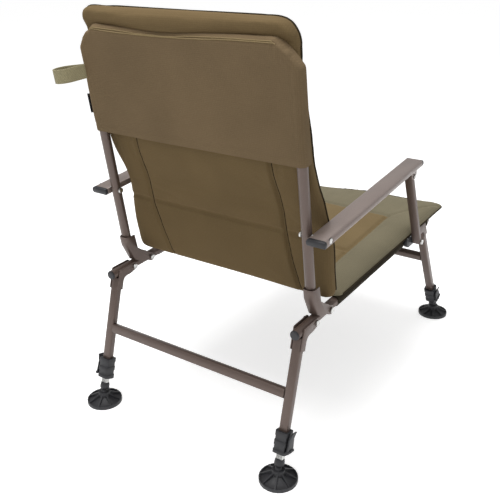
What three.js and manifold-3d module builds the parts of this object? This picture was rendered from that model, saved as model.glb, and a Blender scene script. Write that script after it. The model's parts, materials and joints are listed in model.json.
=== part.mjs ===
import * as THREE from 'three';
import { mergeVertices } from 'three/addons/utils/BufferGeometryUtils.js';
import Module from 'manifold-3d';

const wasm = await Module();
wasm.setup();

// Sizes in millimetres, angles in degrees. Forward is counted from the rear foot centre.

// Stance
const footSpacing = 816;
const rearFootY = footSpacing / 2;
const railHalfSpacing = 235;
const ballHeight = 24;

// Clearances and walls
const gap = 0.3;
const runningGap = 0.2;
const plateWall = 2;
const tubeWall = 1.5;
const weldOverlap = 0.5;
const boreReach = 60;
const mergeDistance = 0.001;

// Seat rail
const railRadius = 10;
const railStartForward = 49.3;
const railStartHeight = 296.2;
const railRise = 2.04;
const railBend = 50;
const plugHead = 4;
const plugStub = 12;
const seatBarForward = 240;
const seatBarRadius = 8;
const seatBarDrop = 2;

// Pivots on the rail and its front run, counted forward
const rearLegForward = 114.4;
const backPivotForward = 172.4;
const postForward = 565.6;
const legPastPost = 47.4;
const frontLegForward = postForward + legPastPost;
const railPastLeg = 117;
const railFrontForward = frontLegForward + railPastLeg;

// Legs
const rearLegOffset = 38.8;
const frontLegOffset = 39;
const legWidth = 19;
const legDepth = 16;
const legCorner = 3;
const legTubeBottom = 58.4;
const cheekLength = 51;
const bracketRadius = 9;
const bracketTopCorner = 3;
const webStart = 14;
const webRound = 12;
const crossbarTall = 20;
const crossbarDeep = 17;
const crossbarCorner = 4;
const rearCrossbarUp = 154.4;
const frontCrossbarUp = 210;

// Bolts
const boltRadius = 3;
const boltHeadRadius = 6;
const boltHeadTall = 3.5;
const nutRadius = 6.5;
const nutTall = 3.8;

// Collar and its cam lever
const collarSide = 28;
const collarRib = 0.9;
const collarCorner = 5;
const collarBottom = 34;
const collarTop = 82;
const collarStep = 9.6;
const collarSkew = 9;
const lugHalf = 4;
const lugRadius = 4;
const leverPinOut = 3.8;
const leverPinUp = 44;
const leverPinRadius = 1.5;
const leverBarrel = 3.4;
const leverBaseHalf = 12.5;
const leverTipHalf = 7;
const leverThick = 2.8;
const leverFace = 2.3;
const leverKink = 70;
const leverTip = 85;
const leverFlare = 4.5;

// Telescopic leg and ball
const innerWidth = 15.4;
const innerDepth = 12.4;
const innerCorner = 2.4;
const innerWall = 1.3;
const innerTop = 228;
const ballRadius = 8;
const neckProfile = [[0, -8], [3.06, -7.39], [5.66, -5.66], [7.39, -3.06], [8, 0], [7.39, 3.06], [5.66, 5.66],
  [4.5, 6.7], [4.5, 9], [9, 9], [10.5, 12], [10.3, 18], [9, 24], [0, 24]];
const innerBottom = 20;

// Foot
const footRadius = 38.8;
const footLip = 3;
const footLipTop = 8;
const footWeb = 5;
const footCone = 14;
const bossRadius = 13;
const bossTop = 2;
const socketGap = 0.3;
const ribCount = 8;
const ribThick = 3;
const ribInnerTop = -2;
const ribOuterTop = -15.5;
const ribOuter = 37.5;
const ribInner = 11;

// Back frame, counted along the tube from the armrest bolt, which is placed from the back pivot
const armBoltBehind = 83.5;
const armBoltAbove = 184.415;
const backRecline = 9.1;
const backRadius = 10;
const backTubeBottom = -134.5;
const backArch = 339.3;
const backBend = 52;

// Knuckle side outline, forward and up from the back pivot
const knuckleOutline = [[-78.2, 71.415], [-51.4, 71.415], [-43.4, 37.415], [-32.4, 29.415], [-20.4, 22.415],
  [-6.9, 13.415]];
const knuckleSole = [[-5.9, -8.085], [-19.4, -1.585], [-39.4, 3.415], [-50.4, 10.015], [-54.8, 10.815],
  [-74.6, 49.415]];
const knuckleEye = 9.5;
const knuckleEyeFrom = 65;
const knuckleEyeTo = -100;
const knuckleSpine = [[-81.4, 91.415], [-74.3, 49.415], [-54.5, 10.415], [-13.9, -69.585]];
const knuckleCorner = 8;
const knuckleDepth = 95;

// Armrest
const armClear = 10.4;
const armWidth = 39.6;
const armInner = railHalfSpacing + armClear;
const armOuter = armInner + armWidth;
const armSlope = 5.6;
const armUnder = -9;
const armUpper = 6;
const armCorner = 5;
const armWall = 1.6;
const armRear = -22.5;
const armRearCap = 7;
const armPastPost = 29.8;
const armFrontCap = 5.5;
const armCapStub = 7;

// Arm post under the armrest, and its block, whose outline is forward of the post and up from the rail
const postNarrower = 19.6;
const postWidth = armWidth - postNarrower;
const postDepth = 14;
const postWall = 1.6;
const postCorner = 4;
const postInset = 9.1;
const postStandOff = armInner + postInset;
const blockOutline = [[-35.6, -3], [-25.6, -10], [8.4, -10], [8.4, 9], [0.4, 13], [-31.6, 13], [-35.6, 9]];
const blockCorner = 3;
const armHeadRadius = 5.5;
const earThick = 1.8;
const earHalf = 13;
const earDrop = 9;
const earCorner = 4;
const earTip = 6;
const pinHeadTall = 2.5;
const pinHeadRadius = 5;

// Seat sling, seen across the chair
const slingRest = 0.4;
const slingThick = 1.4;
const slingEdge = 8;
const slingFlat = 16;
const slingMiddle = 6.5;
const slingStart = 205;
const slingShort = 52;
const slingEnd = railFrontForward - slingShort;

// Seat cushion: tables by forward distance, with a border at the sides and a wider one in front
const seatOverRail = 15;
const seatHalfWidth = railHalfSpacing + seatOverRail;
const seatStart = 200;
const seatPastRail = 38;
const seatEnd = railFrontForward + seatPastRail;
const seatBase = 12.3;
const seatFrontCorner = 22;
const seatRearCorner = 14;
const seatThickness = [[200, 11.5], [226, 12.5], [256, 14], [311, 16.5], [424, 20.5], [500, 24], [560, 27],
  [630, 27.5], [690, 25], [735, 20.5], [768, 14]];
const seatCrown = [[256, 0], [380, 4], [560, 4], [690, 0], [768, -7]];
const seatSideBorder = 72;
const seatFrontBorder = 178;
const seatChannels = [375];
const channelWidth = 9;
const channelDepth = 3.2;

// Back cushion centre line, forward and up from the back pivot, with its thickness
const backPadLine = [[9.8, 11.415, 24], [4.8, 41.415, 32], [-5.2, 93.415, 38], [-12.2, 151.415, 36],
  [-27.2, 204.415, 34], [-40.2, 237.415, 34], [-64.2, 279.415, 33], [-77.7, 314.415, 32], [-88.6, 367.415, 30],
  [-100.6, 434.415, 27], [-109.8, 489.415, 25], [-116.2, 534.415, 24], [-122.2, 568.415, 20]];
const backHalfWidth = railHalfSpacing + seatOverRail;
const backSides = [[219.415, -7], [279.415, -3], [370, -5], [440, -12], [510, -18], [568.415, -20]];
const backTopCorner = 48;
const backBottomCorner = 22;
const backCrown = [[17.415, 0], [119.415, 10], [499.415, 10], [568.415, 3]];
const backSeam = 160;
const backCross = 157.415;
const padCells = 17;
const panelInset = 16;
const panelHalfWidth = railHalfSpacing - panelInset;
const panelThick = 1.6;
const panelGap = 0.4;
const panelStart = 61.415;
const panelEnd = 305.415;

// Hood over the frame top
const hoodWall = 2;
const hoodHalfWidth = railHalfSpacing + railRadius + gap + hoodWall;
const hoodBack = -14;
const hoodFront = 10;
const hoodBottom = 139;
const hoodTop = 355.6;
const hoodChamfer = 40;
const hoodCorner = 10;

// Webbing loop on the side
const loopLength = 58;
const loopThick = 24;
const loopBand = 2;
const loopTall = 28;
const loopBack = 15.5;
const loopAlong = 263;
const loopInset = 3.8;
const loopSide = hoodHalfWidth - loopInset;
const loopTurn = 53.5;

// Segment counts, and how far a cutting tool runs past a surface
const tubeSides = 18;
const bendSteps = 5;
const footSides = 24;
const boltSides = 10;
const ballSides = 12;
const socketSteps = 4;
const endSteps = 6;
const eyeSteps = 10;
const bracketSteps = 8;
const cornerSteps = 2;
const toolPast = 1;
const edgeShares = [0, 0.1, 0.4, 1];

// Materials
const finishes = {
  paint: { color: '#6b5c57', roughness: 0.42, metalness: 0.35 },
  armPaint: { color: '#8b7c78', roughness: 0.4, metalness: 0.35 },
  steel: { color: '#cfcfcd', roughness: 0.25, metalness: 1 },
  plastic: { color: '#252528', roughness: 0.55, metalness: 0 },
  seatCloth: { color: '#7f765a', roughness: 0.9, metalness: 0 },
  backCloth: { color: '#5a4b32', roughness: 0.9, metalness: 0 },
  hoodCloth: { color: '#6a5a3f', roughness: 0.9, metalness: 0 },
  sling: { color: '#2f2b22', roughness: 0.95, metalness: 0 },
  webbing: { color: '#958c6c', roughness: 0.9, metalness: 0 },
};
const materials = {};
for (const [name, values] of Object.entries(finishes)) {
  materials[name] = new THREE.MeshStandardMaterial({ name, ...values });
}

const rad = THREE.MathUtils.degToRad;
const chair = new THREE.Group();
chair.name = 'carp_chair';

// Solid helpers
function solid(geometry) {
  const loose = geometry.index ? geometry.toNonIndexed() : geometry;
  const bare = new THREE.BufferGeometry();
  bare.setAttribute('position', loose.attributes.position.clone());
  const merged = mergeVertices(bare, mergeDistance);
  const corners = merged.index.array;
  const kept = [];
  for (let i = 0; i < corners.length; i += 3) {
    const [a, b, c] = [corners[i], corners[i + 1], corners[i + 2]];
    if (a !== b && b !== c && c !== a) {
      kept.push(a, b, c);
    }
  }
  return new wasm.Manifold(new wasm.Mesh({
    numProp: 3,
    vertProperties: Float32Array.from(merged.attributes.position.array),
    triVerts: Uint32Array.from(kept),
  }));
}

function surface(body) {
  const mesh = body.getMesh();
  const geometry = new THREE.BufferGeometry();
  geometry.setAttribute('position', new THREE.BufferAttribute(Float32Array.from(mesh.vertProperties), 3));
  geometry.setIndex([...mesh.triVerts]);
  return geometry;
}

function moved(geometry, matrix) {
  const copy = geometry.index ? geometry.toNonIndexed() : geometry.clone();
  copy.applyMatrix4(matrix);
  if (matrix.determinant() < 0) {
    const at = copy.attributes.position;
    const first = new THREE.Vector3();
    const last = new THREE.Vector3();
    for (let i = 0; i < at.count; i += 3) {
      first.fromBufferAttribute(at, i);
      last.fromBufferAttribute(at, i + 2);
      at.setXYZ(i, last.x, last.y, last.z);
      at.setXYZ(i + 2, first.x, first.y, first.z);
    }
  }
  return copy;
}

function joined(...geometries) {
  return surface(geometries.map(solid).reduce((whole, piece) => whole.add(piece)));
}

function cut(geometry, ...tools) {
  return surface(tools.map(solid).reduce((whole, tool) => whole.subtract(tool), solid(geometry)));
}

function common(geometry, other) {
  return surface(solid(geometry).intersect(solid(other)));
}

function add(name, geometry, material) {
  const flat = geometry.index ? geometry.toNonIndexed() : geometry;
  const bare = new THREE.BufferGeometry();
  bare.setAttribute('position', flat.attributes.position);
  bare.computeVertexNormals();
  const mesh = new THREE.Mesh(bare, materials[material]);
  mesh.name = name;
  chair.add(mesh);
}

const mirror = new THREE.Matrix4().makeScale(-1, 1, 1);

function addPair(name, geometry, material) {
  add(`${name}_left`, geometry, material);
  add(`${name}_right`, moved(geometry, mirror), material);
}

// Shapes
function rounded(points, radii) {
  const path = [];
  points.forEach((point, i) => {
    const here = new THREE.Vector2(...point);
    const before = new THREE.Vector2(...points.at(i - 1));
    const after = new THREE.Vector2(...points[(i + 1) % points.length]);
    const radius = Array.isArray(radii) ? radii[i] : radii;
    if (!radius) {
      path.push(here);
      return;
    }
    const toBefore = before.clone().sub(here).normalize();
    const toAfter = after.clone().sub(here).normalize();
    const half = Math.acos(THREE.MathUtils.clamp(toBefore.dot(toAfter), -1, 1)) / 2;
    const reach = radius / Math.tan(half);
    const inward = toBefore.clone().add(toAfter).normalize();
    const centre = here.clone().add(inward.multiplyScalar(radius / Math.sin(half)));
    const from = here.clone().add(toBefore.multiplyScalar(reach)).sub(centre);
    const to = here.clone().add(toAfter.multiplyScalar(reach)).sub(centre);
    let sweep = to.angle() - from.angle();
    if (sweep > Math.PI) {
      sweep -= 2 * Math.PI;
    }
    if (sweep < -Math.PI) {
      sweep += 2 * Math.PI;
    }
    for (let k = 0; k <= cornerSteps; k += 1) {
      path.push(from.clone().rotateAround(new THREE.Vector2(), sweep * k / cornerSteps).add(centre));
    }
  });
  return path;
}

function arc(centreA, centreB, radius, fromAngle, toAngle, steps) {
  const points = [];
  for (let k = 0; k <= steps; k += 1) {
    const angle = rad(fromAngle + (toAngle - fromAngle) * k / steps);
    points.push([centreA + radius * Math.cos(angle), centreB + radius * Math.sin(angle)]);
  }
  return points;
}

function vectors(points) {
  return points.map((point) => new THREE.Vector2(...point));
}

function rectangle(width, depth, radius) {
  const [a, b] = [width / 2, depth / 2];
  return rounded([[-a, -b], [a, -b], [a, b], [-a, b]], radius);
}

function prism(path, from, to) {
  const geometry = new THREE.ExtrudeGeometry(new THREE.Shape(path), { depth: to - from, bevelEnabled: false });
  return geometry.translate(0, 0, from);
}

// A side outline in the plane of Y and Z, carried across X.
const sideways = new THREE.Matrix4().makeBasis(
  new THREE.Vector3(0, 1, 0),
  new THREE.Vector3(0, 0, 1),
  new THREE.Vector3(1, 0, 0),
);

function sidePrism(path, from, to) {
  return prism(path, from, to).applyMatrix4(sideways);
}

function rod(radius, from, to, y, z, sides = boltSides) {
  const geometry = new THREE.CylinderGeometry(radius, radius, to - from, sides);
  return geometry.rotateZ(Math.PI / 2).translate((from + to) / 2, y, z);
}

function block(x0, x1, y0, y1, z0, z1) {
  const geometry = new THREE.BoxGeometry(x1 - x0, y1 - y0, z1 - z0);
  return geometry.translate((x0 + x1) / 2, (y0 + y1) / 2, (z0 + z1) / 2);
}

function lathe(profile, sides) {
  return new THREE.LatheGeometry(vectors(profile), sides).rotateX(Math.PI / 2);
}

class Run extends THREE.Curve {
  constructor(points) {
    super();
    this.points = points;
  }

  getPointAt(share, target = new THREE.Vector3()) {
    return target.copy(this.points[Math.round(share * (this.points.length - 1))]);
  }

  getTangentAt(share, target = new THREE.Vector3()) {
    const i = Math.round(share * (this.points.length - 1));
    const last = this.points.length - 1;
    const before = this.points[Math.max(i - 1, 0)];
    const after = this.points[Math.min(i + 1, last)];
    if (i === 0 || i === last) {
      return target.copy(after).sub(before).normalize();
    }
    const arriving = this.points[i].clone().sub(before).normalize();
    const leaving = after.clone().sub(this.points[i]).normalize();
    return target.copy(arriving).add(leaving).normalize();
  }
}

function swept(outline, holes, points) {
  const shape = new THREE.Shape(outline);
  holes.forEach((hole) => shape.holes.push(new THREE.Path(hole)));
  return new THREE.ExtrudeGeometry(shape, { steps: points.length - 1, extrudePath: new Run(points) });
}

function ring(radius, sides) {
  return vectors(arc(0, 0, radius, 0, 360 - 360 / sides, sides - 1));
}

// A U of tube from two open ends, in the plane of X and a run direction.
function bentTube(start, end, radius, bend, place) {
  const side = railHalfSpacing;
  const flat = [[side, start], ...arc(side - bend, end - bend, bend, 0, 90, bendSteps),
    ...arc(bend - side, end - bend, bend, 90, 180, bendSteps), [-side, start]];
  const points = flat.map(([x, along]) => place(x, along));
  return swept(ring(radius, tubeSides), [ring(radius - tubeWall, tubeSides)], points);
}

function tableAt(table, value) {
  let i = 1;
  while (i < table.length - 1 && value > table[i][0]) {
    i += 1;
  }
  const [a, b] = [table[i - 1], table[i]];
  const share = THREE.MathUtils.clamp((value - a[0]) / (b[0] - a[0]), 0, 1);
  return a[1] + (b[1] - a[1]) * share;
}

// Frames of the moving groups
const yAt = (forward) => rearFootY - forward;
const railTan = Math.tan(rad(railRise));
const railCos = Math.cos(rad(railRise));
const railHeight = (forward) => railStartHeight + (forward - railStartForward) * railTan;
const alongRail = (forward) => (forward - railStartForward) / railCos;
const railFrame = new THREE.Matrix4().makeTranslation(0, yAt(railStartForward), railStartHeight)
  .multiply(new THREE.Matrix4().makeRotationX(-rad(railRise)));
const backPivotHeight = railHeight(backPivotForward);
const armBoltForward = backPivotForward - armBoltBehind;
const armBoltHeight = backPivotHeight + armBoltAbove;
const backFrame = new THREE.Matrix4().makeTranslation(0, yAt(armBoltForward), armBoltHeight)
  .multiply(new THREE.Matrix4().makeRotationX(-rad(backRecline)));
const armFrame = new THREE.Matrix4().makeTranslation(0, yAt(armBoltForward), armBoltHeight)
  .multiply(new THREE.Matrix4().makeRotationX(-rad(armSlope)));

function legPlace(pivotForward, footForward, offset, way) {
  const run = Math.abs(footForward - pivotForward);
  const rise = railHeight(pivotForward) - ballHeight;
  const reach = Math.sqrt(run * run + rise * rise - offset * offset);
  const lean = Math.atan2(run, rise) - Math.atan2(offset, reach);
  const matrix = new THREE.Matrix4().makeTranslation(0, yAt(pivotForward), railHeight(pivotForward))
    .multiply(new THREE.Matrix4().makeScale(1, way, 1))
    .multiply(new THREE.Matrix4().makeRotationX(lean));
  return { matrix, reach, offset, railAngle: lean + way * rad(railRise) };
}

const rearLeg = legPlace(rearLegForward, 0, rearLegOffset, 1);
const frontLeg = legPlace(frontLegForward, footSpacing, frontLegOffset, -1);

// Fasteners
function bolt(headFace, nutFace, y, z) {
  const head = rod(boltHeadRadius, headFace, headFace + boltHeadTall, y, z);
  const shaft = rod(boltRadius, nutFace - nutTall, headFace + weldOverlap, y, z);
  const nut = rod(nutRadius, nutFace - nutTall, nutFace, y, z, 6);
  return joined(head, shaft, nut);
}

const cheekInner = railRadius + gap;
const cheekOuter = cheekInner + plateWall;
const boltHole = boltRadius + runningGap;
const cheekHeadFace = railHalfSpacing + cheekOuter + gap;
const cheekNutFace = railHalfSpacing - cheekOuter - gap;
const bore = (y, z, radius = boltHole) => rod(radius, railHalfSpacing - boreReach, railHalfSpacing + boreReach, y, z);

for (const [name, forward] of [['rear_leg_bolt', rearLegForward], ['back_pivot_bolt', backPivotForward],
  ['front_leg_bolt', frontLegForward]]) {
  addPair(name, bolt(cheekHeadFace, cheekNutFace, yAt(forward), railHeight(forward)), 'steel');
}
const postOuter = postStandOff + postWidth;
addPair('post_bolt', bolt(postOuter + gap, railHalfSpacing - railRadius - gap, yAt(postForward),
  railHeight(postForward)), 'steel');

// Seat frame
const railBores = [rearLegForward, backPivotForward, postForward, frontLegForward]
  .flatMap((forward) => [bore(yAt(forward), railHeight(forward)),
    moved(bore(yAt(forward), railHeight(forward)), mirror)]);
const seatTube = bentTube(plugHead + gap, alongRail(railFrontForward), railRadius, railBend,
  (x, along) => new THREE.Vector3(x, -along, 0)).applyMatrix4(railFrame);
add('seat_frame_tube', cut(seatTube, ...railBores), 'paint');

const plugBore = railRadius - tubeWall - runningGap;
const plug = lathe([[0, 0], [railRadius - plateWall, 0], [railRadius, plateWall], [railRadius, plugHead],
  [plugBore, plugHead], [plugBore, plugHead + plugStub], [0, plugHead + plugStub]], tubeSides)
  .rotateX(Math.PI / 2).translate(railHalfSpacing, 0, 0);
addPair('rail_end_plug', moved(plug, railFrame), 'plastic');

const seatBar = rod(seatBarRadius, railRadius + gap - railHalfSpacing, railHalfSpacing - railRadius - gap,
  -alongRail(seatBarForward), -seatBarDrop, tubeSides);
add('seat_rear_crossbar', moved(seatBar, railFrame), 'paint');

// Post pivot block on the outside of each rail
const blockPath = rounded(blockOutline.map(([forward, up]) => [-alongRail(postForward + forward), up]), blockCorner);
const postBlock = moved(sidePrism(blockPath, railHalfSpacing + railRadius + gap, postStandOff - gap), railFrame);
addPair('post_pivot_block', cut(postBlock, bore(yAt(postForward), railHeight(postForward))), 'plastic');

// Sling over the rails
function slingSide(radius, middle) {
  const start = railHalfSpacing - slingFlat;
  return [[start, radius],
    ...arc(railHalfSpacing, 0, radius, 90, 90 - THREE.MathUtils.radToDeg(Math.asin(slingEdge / radius)), cornerSteps),
    middle];
}
const slingLower = slingSide(railRadius + slingRest, null).slice(0, -1);
const slingUpper = slingSide(railRadius + slingRest + slingThick, null).slice(0, -1);
const flip = (points) => points.map(([x, z]) => [-x, z]).reverse();
const slingPath = vectors([...flip(slingLower), [0, slingMiddle], ...slingLower,
  ...[...slingUpper].reverse(), [0, slingMiddle + slingThick], ...flip([...slingUpper].reverse())]);
const slingForm = prism(slingPath, alongRail(slingStart), alongRail(slingEnd)).rotateX(Math.PI / 2);
add('seat_sling', moved(slingForm, railFrame), 'sling');

// Legs
function legParts(leg, crossbarUp) {
  const { reach, offset, railAngle } = leg;
  const up = (distance) => distance - reach;
  const outer = offset + legDepth / 2;
  const inner = offset - legDepth / 2;
  const turn = ([a, b]) => [a * Math.cos(railAngle) + b * Math.sin(railAngle),
    b * Math.cos(railAngle) - a * Math.sin(railAngle)];
  const under = -(railRadius + gap);
  const onRail = (across, b) => [across, (b - across * Math.sin(railAngle)) / Math.cos(railAngle)];
  const outline = [...arc(0, 0, bracketRadius, 90, 270, bracketSteps).map(turn),
    turn([webStart, under - plateWall]), onRail(inner, under - plateWall), [inner, -cheekLength],
    [outer, -cheekLength], onRail(outer, bracketRadius)];
  const radii = outline.map(() => 0);
  radii[outline.length - 4] = webRound;
  radii[outline.length - 2] = bracketTopCorner;
  radii[outline.length - 1] = bracketTopCorner;
  const cheekPath = rounded(outline, radii);
  const middle = railHalfSpacing;
  const tubeTop = onRail(outer, under)[1];
  const sleeve = prism(rectangle(legWidth, legDepth, legCorner), up(legTubeBottom), 0)
    .translate(middle, offset, 0);
  const hollow = prism(rectangle(legWidth - 2 * tubeWall, legDepth - 2 * tubeWall, legCorner - tubeWall),
    up(legTubeBottom) - toolPast, toolPast).translate(middle, offset, 0);
  const tilt = new THREE.Matrix4().makeRotationX(-railAngle);
  const overRail = moved(block(middle - boreReach, middle + boreReach, -boreReach, 2 * boreReach, under,
    boreReach), tilt);
  const tube = cut(sleeve, overRail, hollow);
  const plates = [];
  for (const side of [-1, 1]) {
    const [a, b] = [middle + side * cheekInner, middle + side * cheekOuter];
    plates.push(sidePrism(cheekPath, Math.min(a, b), Math.max(a, b)));
    const [c, d] = [middle + side * (legWidth / 2 - weldOverlap), middle + side * (cheekInner + weldOverlap)];
    plates.push(block(Math.min(c, d), Math.max(c, d), inner + legCorner, outer - legCorner,
      -cheekLength + legCorner, tubeTop));
  }
  const web = moved(block(middle - cheekInner - weldOverlap, middle + cheekInner + weldOverlap, webStart,
    inner / Math.cos(railAngle) + plateWall, under - plateWall, under), tilt);
  const whole = cut(joined(tube, ...plates, web), bore(0, 0));
  const barHalf = middle - legWidth / 2 - gap;
  const turned = (path) => path.map((point) => new THREE.Vector2(point.x, point.y));
  const bar = swept(turned(rectangle(crossbarTall, crossbarDeep, crossbarCorner)),
    [turned(rectangle(crossbarTall - 2 * tubeWall, crossbarDeep - 2 * tubeWall, crossbarCorner - tubeWall))],
    [new THREE.Vector3(-barHalf, offset, up(crossbarUp)), new THREE.Vector3(barHalf, offset, up(crossbarUp))]);
  return { whole, bar };
}

function collarForm(leg) {
  const { reach, offset } = leg;
  const middle = railHalfSpacing;
  const slices = [prism(rectangle(collarSide - 2 * collarRib, collarSide - 2 * collarRib, collarCorner),
    collarBottom, collarTop)];
  for (let at = collarBottom; at < collarTop - collarStep / 2; at += 2 * collarStep) {
    slices.push(prism(rectangle(collarSide, collarSide, collarCorner), at, Math.min(at + collarStep, collarTop)));
  }
  const pinX = collarSide / 2 + leverPinOut;
  const lug = rod(lugRadius, -lugHalf, lugHalf, 0, 0).rotateZ(Math.PI / 2).translate(pinX, 0, leverPinUp);
  const lugRoot = block(collarSide / 2 - 2 * collarRib, pinX, -lugHalf, lugHalf, leverPinUp - lugRadius,
    leverPinUp + lugRadius);
  const pinHole = rod(leverPinRadius + runningGap, -collarSide, collarSide, 0, 0).rotateZ(Math.PI / 2)
    .translate(pinX, 0, leverPinUp);
  const legHole = prism(rectangle(legWidth + 2 * gap, legDepth + 2 * gap, legCorner + gap),
    legTubeBottom - gap, collarTop + collarStep);
  const innerHole = prism(rectangle(innerWidth + 2 * gap, innerDepth + 2 * gap, innerCorner + gap),
    collarBottom - collarStep, legTubeBottom);
  const skew = block(-collarSide, collarSide, -2 * collarSide, 2 * collarSide, -collarSide, 0)
    .rotateX(rad(collarSkew)).translate(0, 0, collarBottom + collarRib);
  return cut(joined(...slices, lug, lugRoot), pinHole, legHole, innerHole, skew).translate(middle, offset, -reach);
}

function leverForm(leg) {
  const { reach, offset } = leg;
  const pinX = collarSide / 2 + leverPinOut;
  const face = collarSide / 2 + leverFace;
  const profile = vectors([[face, leverPinUp], [face + leverThick, leverPinUp], [face + leverThick, leverKink],
    [face + leverThick + leverFlare, leverTip], [face + leverFlare, leverTip], [face, leverKink]]);
  const plate = prism(profile, -leverBaseHalf, leverBaseHalf).rotateX(Math.PI / 2);
  const barrelBottom = leverPinUp - leverBarrel;
  const taper = sidePrism(vectors([[-leverBaseHalf, barrelBottom], [leverBaseHalf, barrelBottom],
    [leverTipHalf, leverTip + toolPast], [-leverTipHalf, leverTip + toolPast]]), face - leverThick,
  face + boltHeadRadius + leverThick);
  const notch = block(face - leverThick, face + 2 * leverThick, -lugHalf - gap, lugHalf + gap,
    leverPinUp - lugRadius - toolPast, leverPinUp + lugRadius + toolPast);
  const barrelAt = (from, to, radius) => rod(radius, from, to, 0, 0).rotateZ(Math.PI / 2)
    .translate(pinX, 0, leverPinUp);
  return joined(cut(common(plate, taper), notch), barrelAt(lugHalf + gap, leverBaseHalf, leverBarrel),
    barrelAt(-leverBaseHalf, -lugHalf - gap, leverBarrel), barrelAt(-leverBaseHalf, leverBaseHalf, leverPinRadius))
    .translate(railHalfSpacing, offset, -reach);
}

function innerForm(leg) {
  const { reach, offset } = leg;
  const tube = cut(prism(rectangle(innerWidth, innerDepth, innerCorner), innerBottom, innerTop),
    prism(rectangle(innerWidth - 2 * innerWall, innerDepth - 2 * innerWall, innerCorner - innerWall),
      innerBottom - toolPast, innerTop + toolPast));
  return joined(tube, lathe(neckProfile, ballSides)).translate(railHalfSpacing, offset, -reach);
}

function footForm() {
  const socket = ballRadius + socketGap;
  const openAngle = THREE.MathUtils.radToDeg(Math.asin(bossTop / socket));
  const cup = arc(0, 0, socket, openAngle, -90, socketSteps);
  cup.at(-1)[0] = 0;
  const profile = [[0, -ballHeight], [footRadius, -ballHeight], [footRadius, footLipTop - ballHeight],
    [footRadius - footLip, footLipTop - ballHeight], [footRadius - footLip, footWeb - ballHeight],
    [bossRadius, footCone - ballHeight], [bossRadius, bossTop], ...cup];
  const ribs = [];
  for (let k = 0; k < ribCount; k += 1) {
    const rib = sidePrism(vectors([[ribInner, toolPast - ballHeight], [ribOuter, toolPast - ballHeight],
      [ribOuter, ribOuterTop], [ribInner, ribInnerTop]]), -ribThick / 2, ribThick / 2);
    ribs.push(rib.rotateZ(2 * Math.PI * (k + 1 / 2) / ribCount));
  }
  return joined(lathe(profile, footSides), ...ribs);
}

for (const [end, leg, crossbarUp, forward] of [['rear', rearLeg, rearCrossbarUp, 0],
  ['front', frontLeg, frontCrossbarUp, footSpacing]]) {
  const { whole, bar } = legParts(leg, crossbarUp);
  addPair(`${end}_leg`, moved(whole, leg.matrix), 'paint');
  add(`${end}_crossbar`, moved(bar, leg.matrix), 'paint');
  addPair(`${end}_collar`, moved(collarForm(leg), leg.matrix), 'plastic');
  addPair(`${end}_cam_lever`, moved(leverForm(leg), leg.matrix), 'plastic');
  addPair(`${end}_inner_leg`, moved(innerForm(leg), leg.matrix), 'steel');
  const foot = footForm().translate(railHalfSpacing, yAt(forward), ballHeight);
  addPair(`${end}_foot`, foot, 'plastic');
}

// Back frame
const backTube = bentTube(backTubeBottom, backArch, backRadius, backBend,
  (x, along) => new THREE.Vector3(x, 0, along)).applyMatrix4(backFrame);
const armBore = bore(yAt(armBoltForward), armBoltHeight);
add('back_frame_tube', cut(backTube, armBore, moved(armBore, mirror)), 'paint');

// Knuckle folded from plate, its web at the rear standing on the rail
const eye = arc(0, 0, knuckleEye, knuckleEyeFrom, knuckleEyeTo, eyeSteps);
const atPivot = ([forward, up]) => new THREE.Vector2(yAt(backPivotForward + forward), backPivotHeight + up);
const knucklePath = [...knuckleOutline, ...eye, ...knuckleSole].map(atPivot);
const spine = knuckleSpine.map(atPivot).map((point) => new THREE.Vector3(railHalfSpacing, point.x, point.y));
function channelCore(half, inset, corner) {
  return swept(rounded([[-half, -knuckleDepth], [half, -knuckleDepth], [half, -inset], [-half, -inset]],
    [0, 0, corner, corner]), [], spine);
}
const knuckleBlock = sidePrism(knucklePath, railHalfSpacing - cheekOuter, railHalfSpacing + cheekOuter);
const knuckleShell = cut(common(knuckleBlock, channelCore(cheekOuter, 0, knuckleCorner)),
  channelCore(cheekInner, plateWall, knuckleCorner - plateWall), bore(yAt(backPivotForward), backPivotHeight));
addPair('back_knuckle', knuckleShell, 'paint');

// Armrest bar, caps, ears and bolts
const armMiddle = (armInner + armOuter) / 2;
function armSection(inset) {
  const half = armWidth / 2 - inset;
  return rounded([[-half, armUnder + inset], [half, armUnder + inset], [half, armUpper - inset],
    [-half, armUpper - inset]], armCorner - Math.min(inset, armCorner / 2));
}
const alongArm = (path, from, to) => prism(path, from, to).rotateX(Math.PI / 2).translate(armMiddle, 0, 0);
const postTop = new THREE.Vector2(postForward + armBoltForward - backPivotForward,
  railHeight(postForward) + armBoltHeight - backPivotHeight);
const reachToPost = postTop.clone().sub(new THREE.Vector2(armBoltForward, armBoltHeight));
const postAlong = reachToPost.x * Math.cos(rad(armSlope)) + reachToPost.y * Math.sin(rad(armSlope));
const postBelow = reachToPost.y * Math.cos(rad(armSlope)) - reachToPost.x * Math.sin(rad(armSlope));
const armFront = postAlong + armPastPost;
const ears = [];
for (const [from, to] of [[postStandOff - gap - earThick, postStandOff - gap],
  [postOuter + gap, postOuter + gap + earThick]]) {
  ears.push(sidePrism(rounded([[-postAlong - earHalf, armUnder + weldOverlap], [-postAlong - earHalf, postBelow],
    [-postAlong, postBelow - earDrop], [-postAlong + earHalf, postBelow],
    [-postAlong + earHalf, armUnder + weldOverlap]], [0, earCorner, earTip, earCorner, 0]), from, to));
}
const earBore = bore(yAt(postTop.x), postTop.y);
const armHeadBore = rod(armHeadRadius + plateWall / 2, armOuter - 2 * armWall, armOuter + armWall,
  yAt(armBoltForward), armBoltHeight);
const armBar = joined(cut(alongArm(armSection(0), armRear + armRearCap + gap, armFront - armFrontCap - gap),
  alongArm(armSection(armWall), armRear, armFront)), ...ears);
addPair('armrest', cut(moved(armBar, armFrame), armBore, armHeadBore, earBore), 'armPaint');

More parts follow.
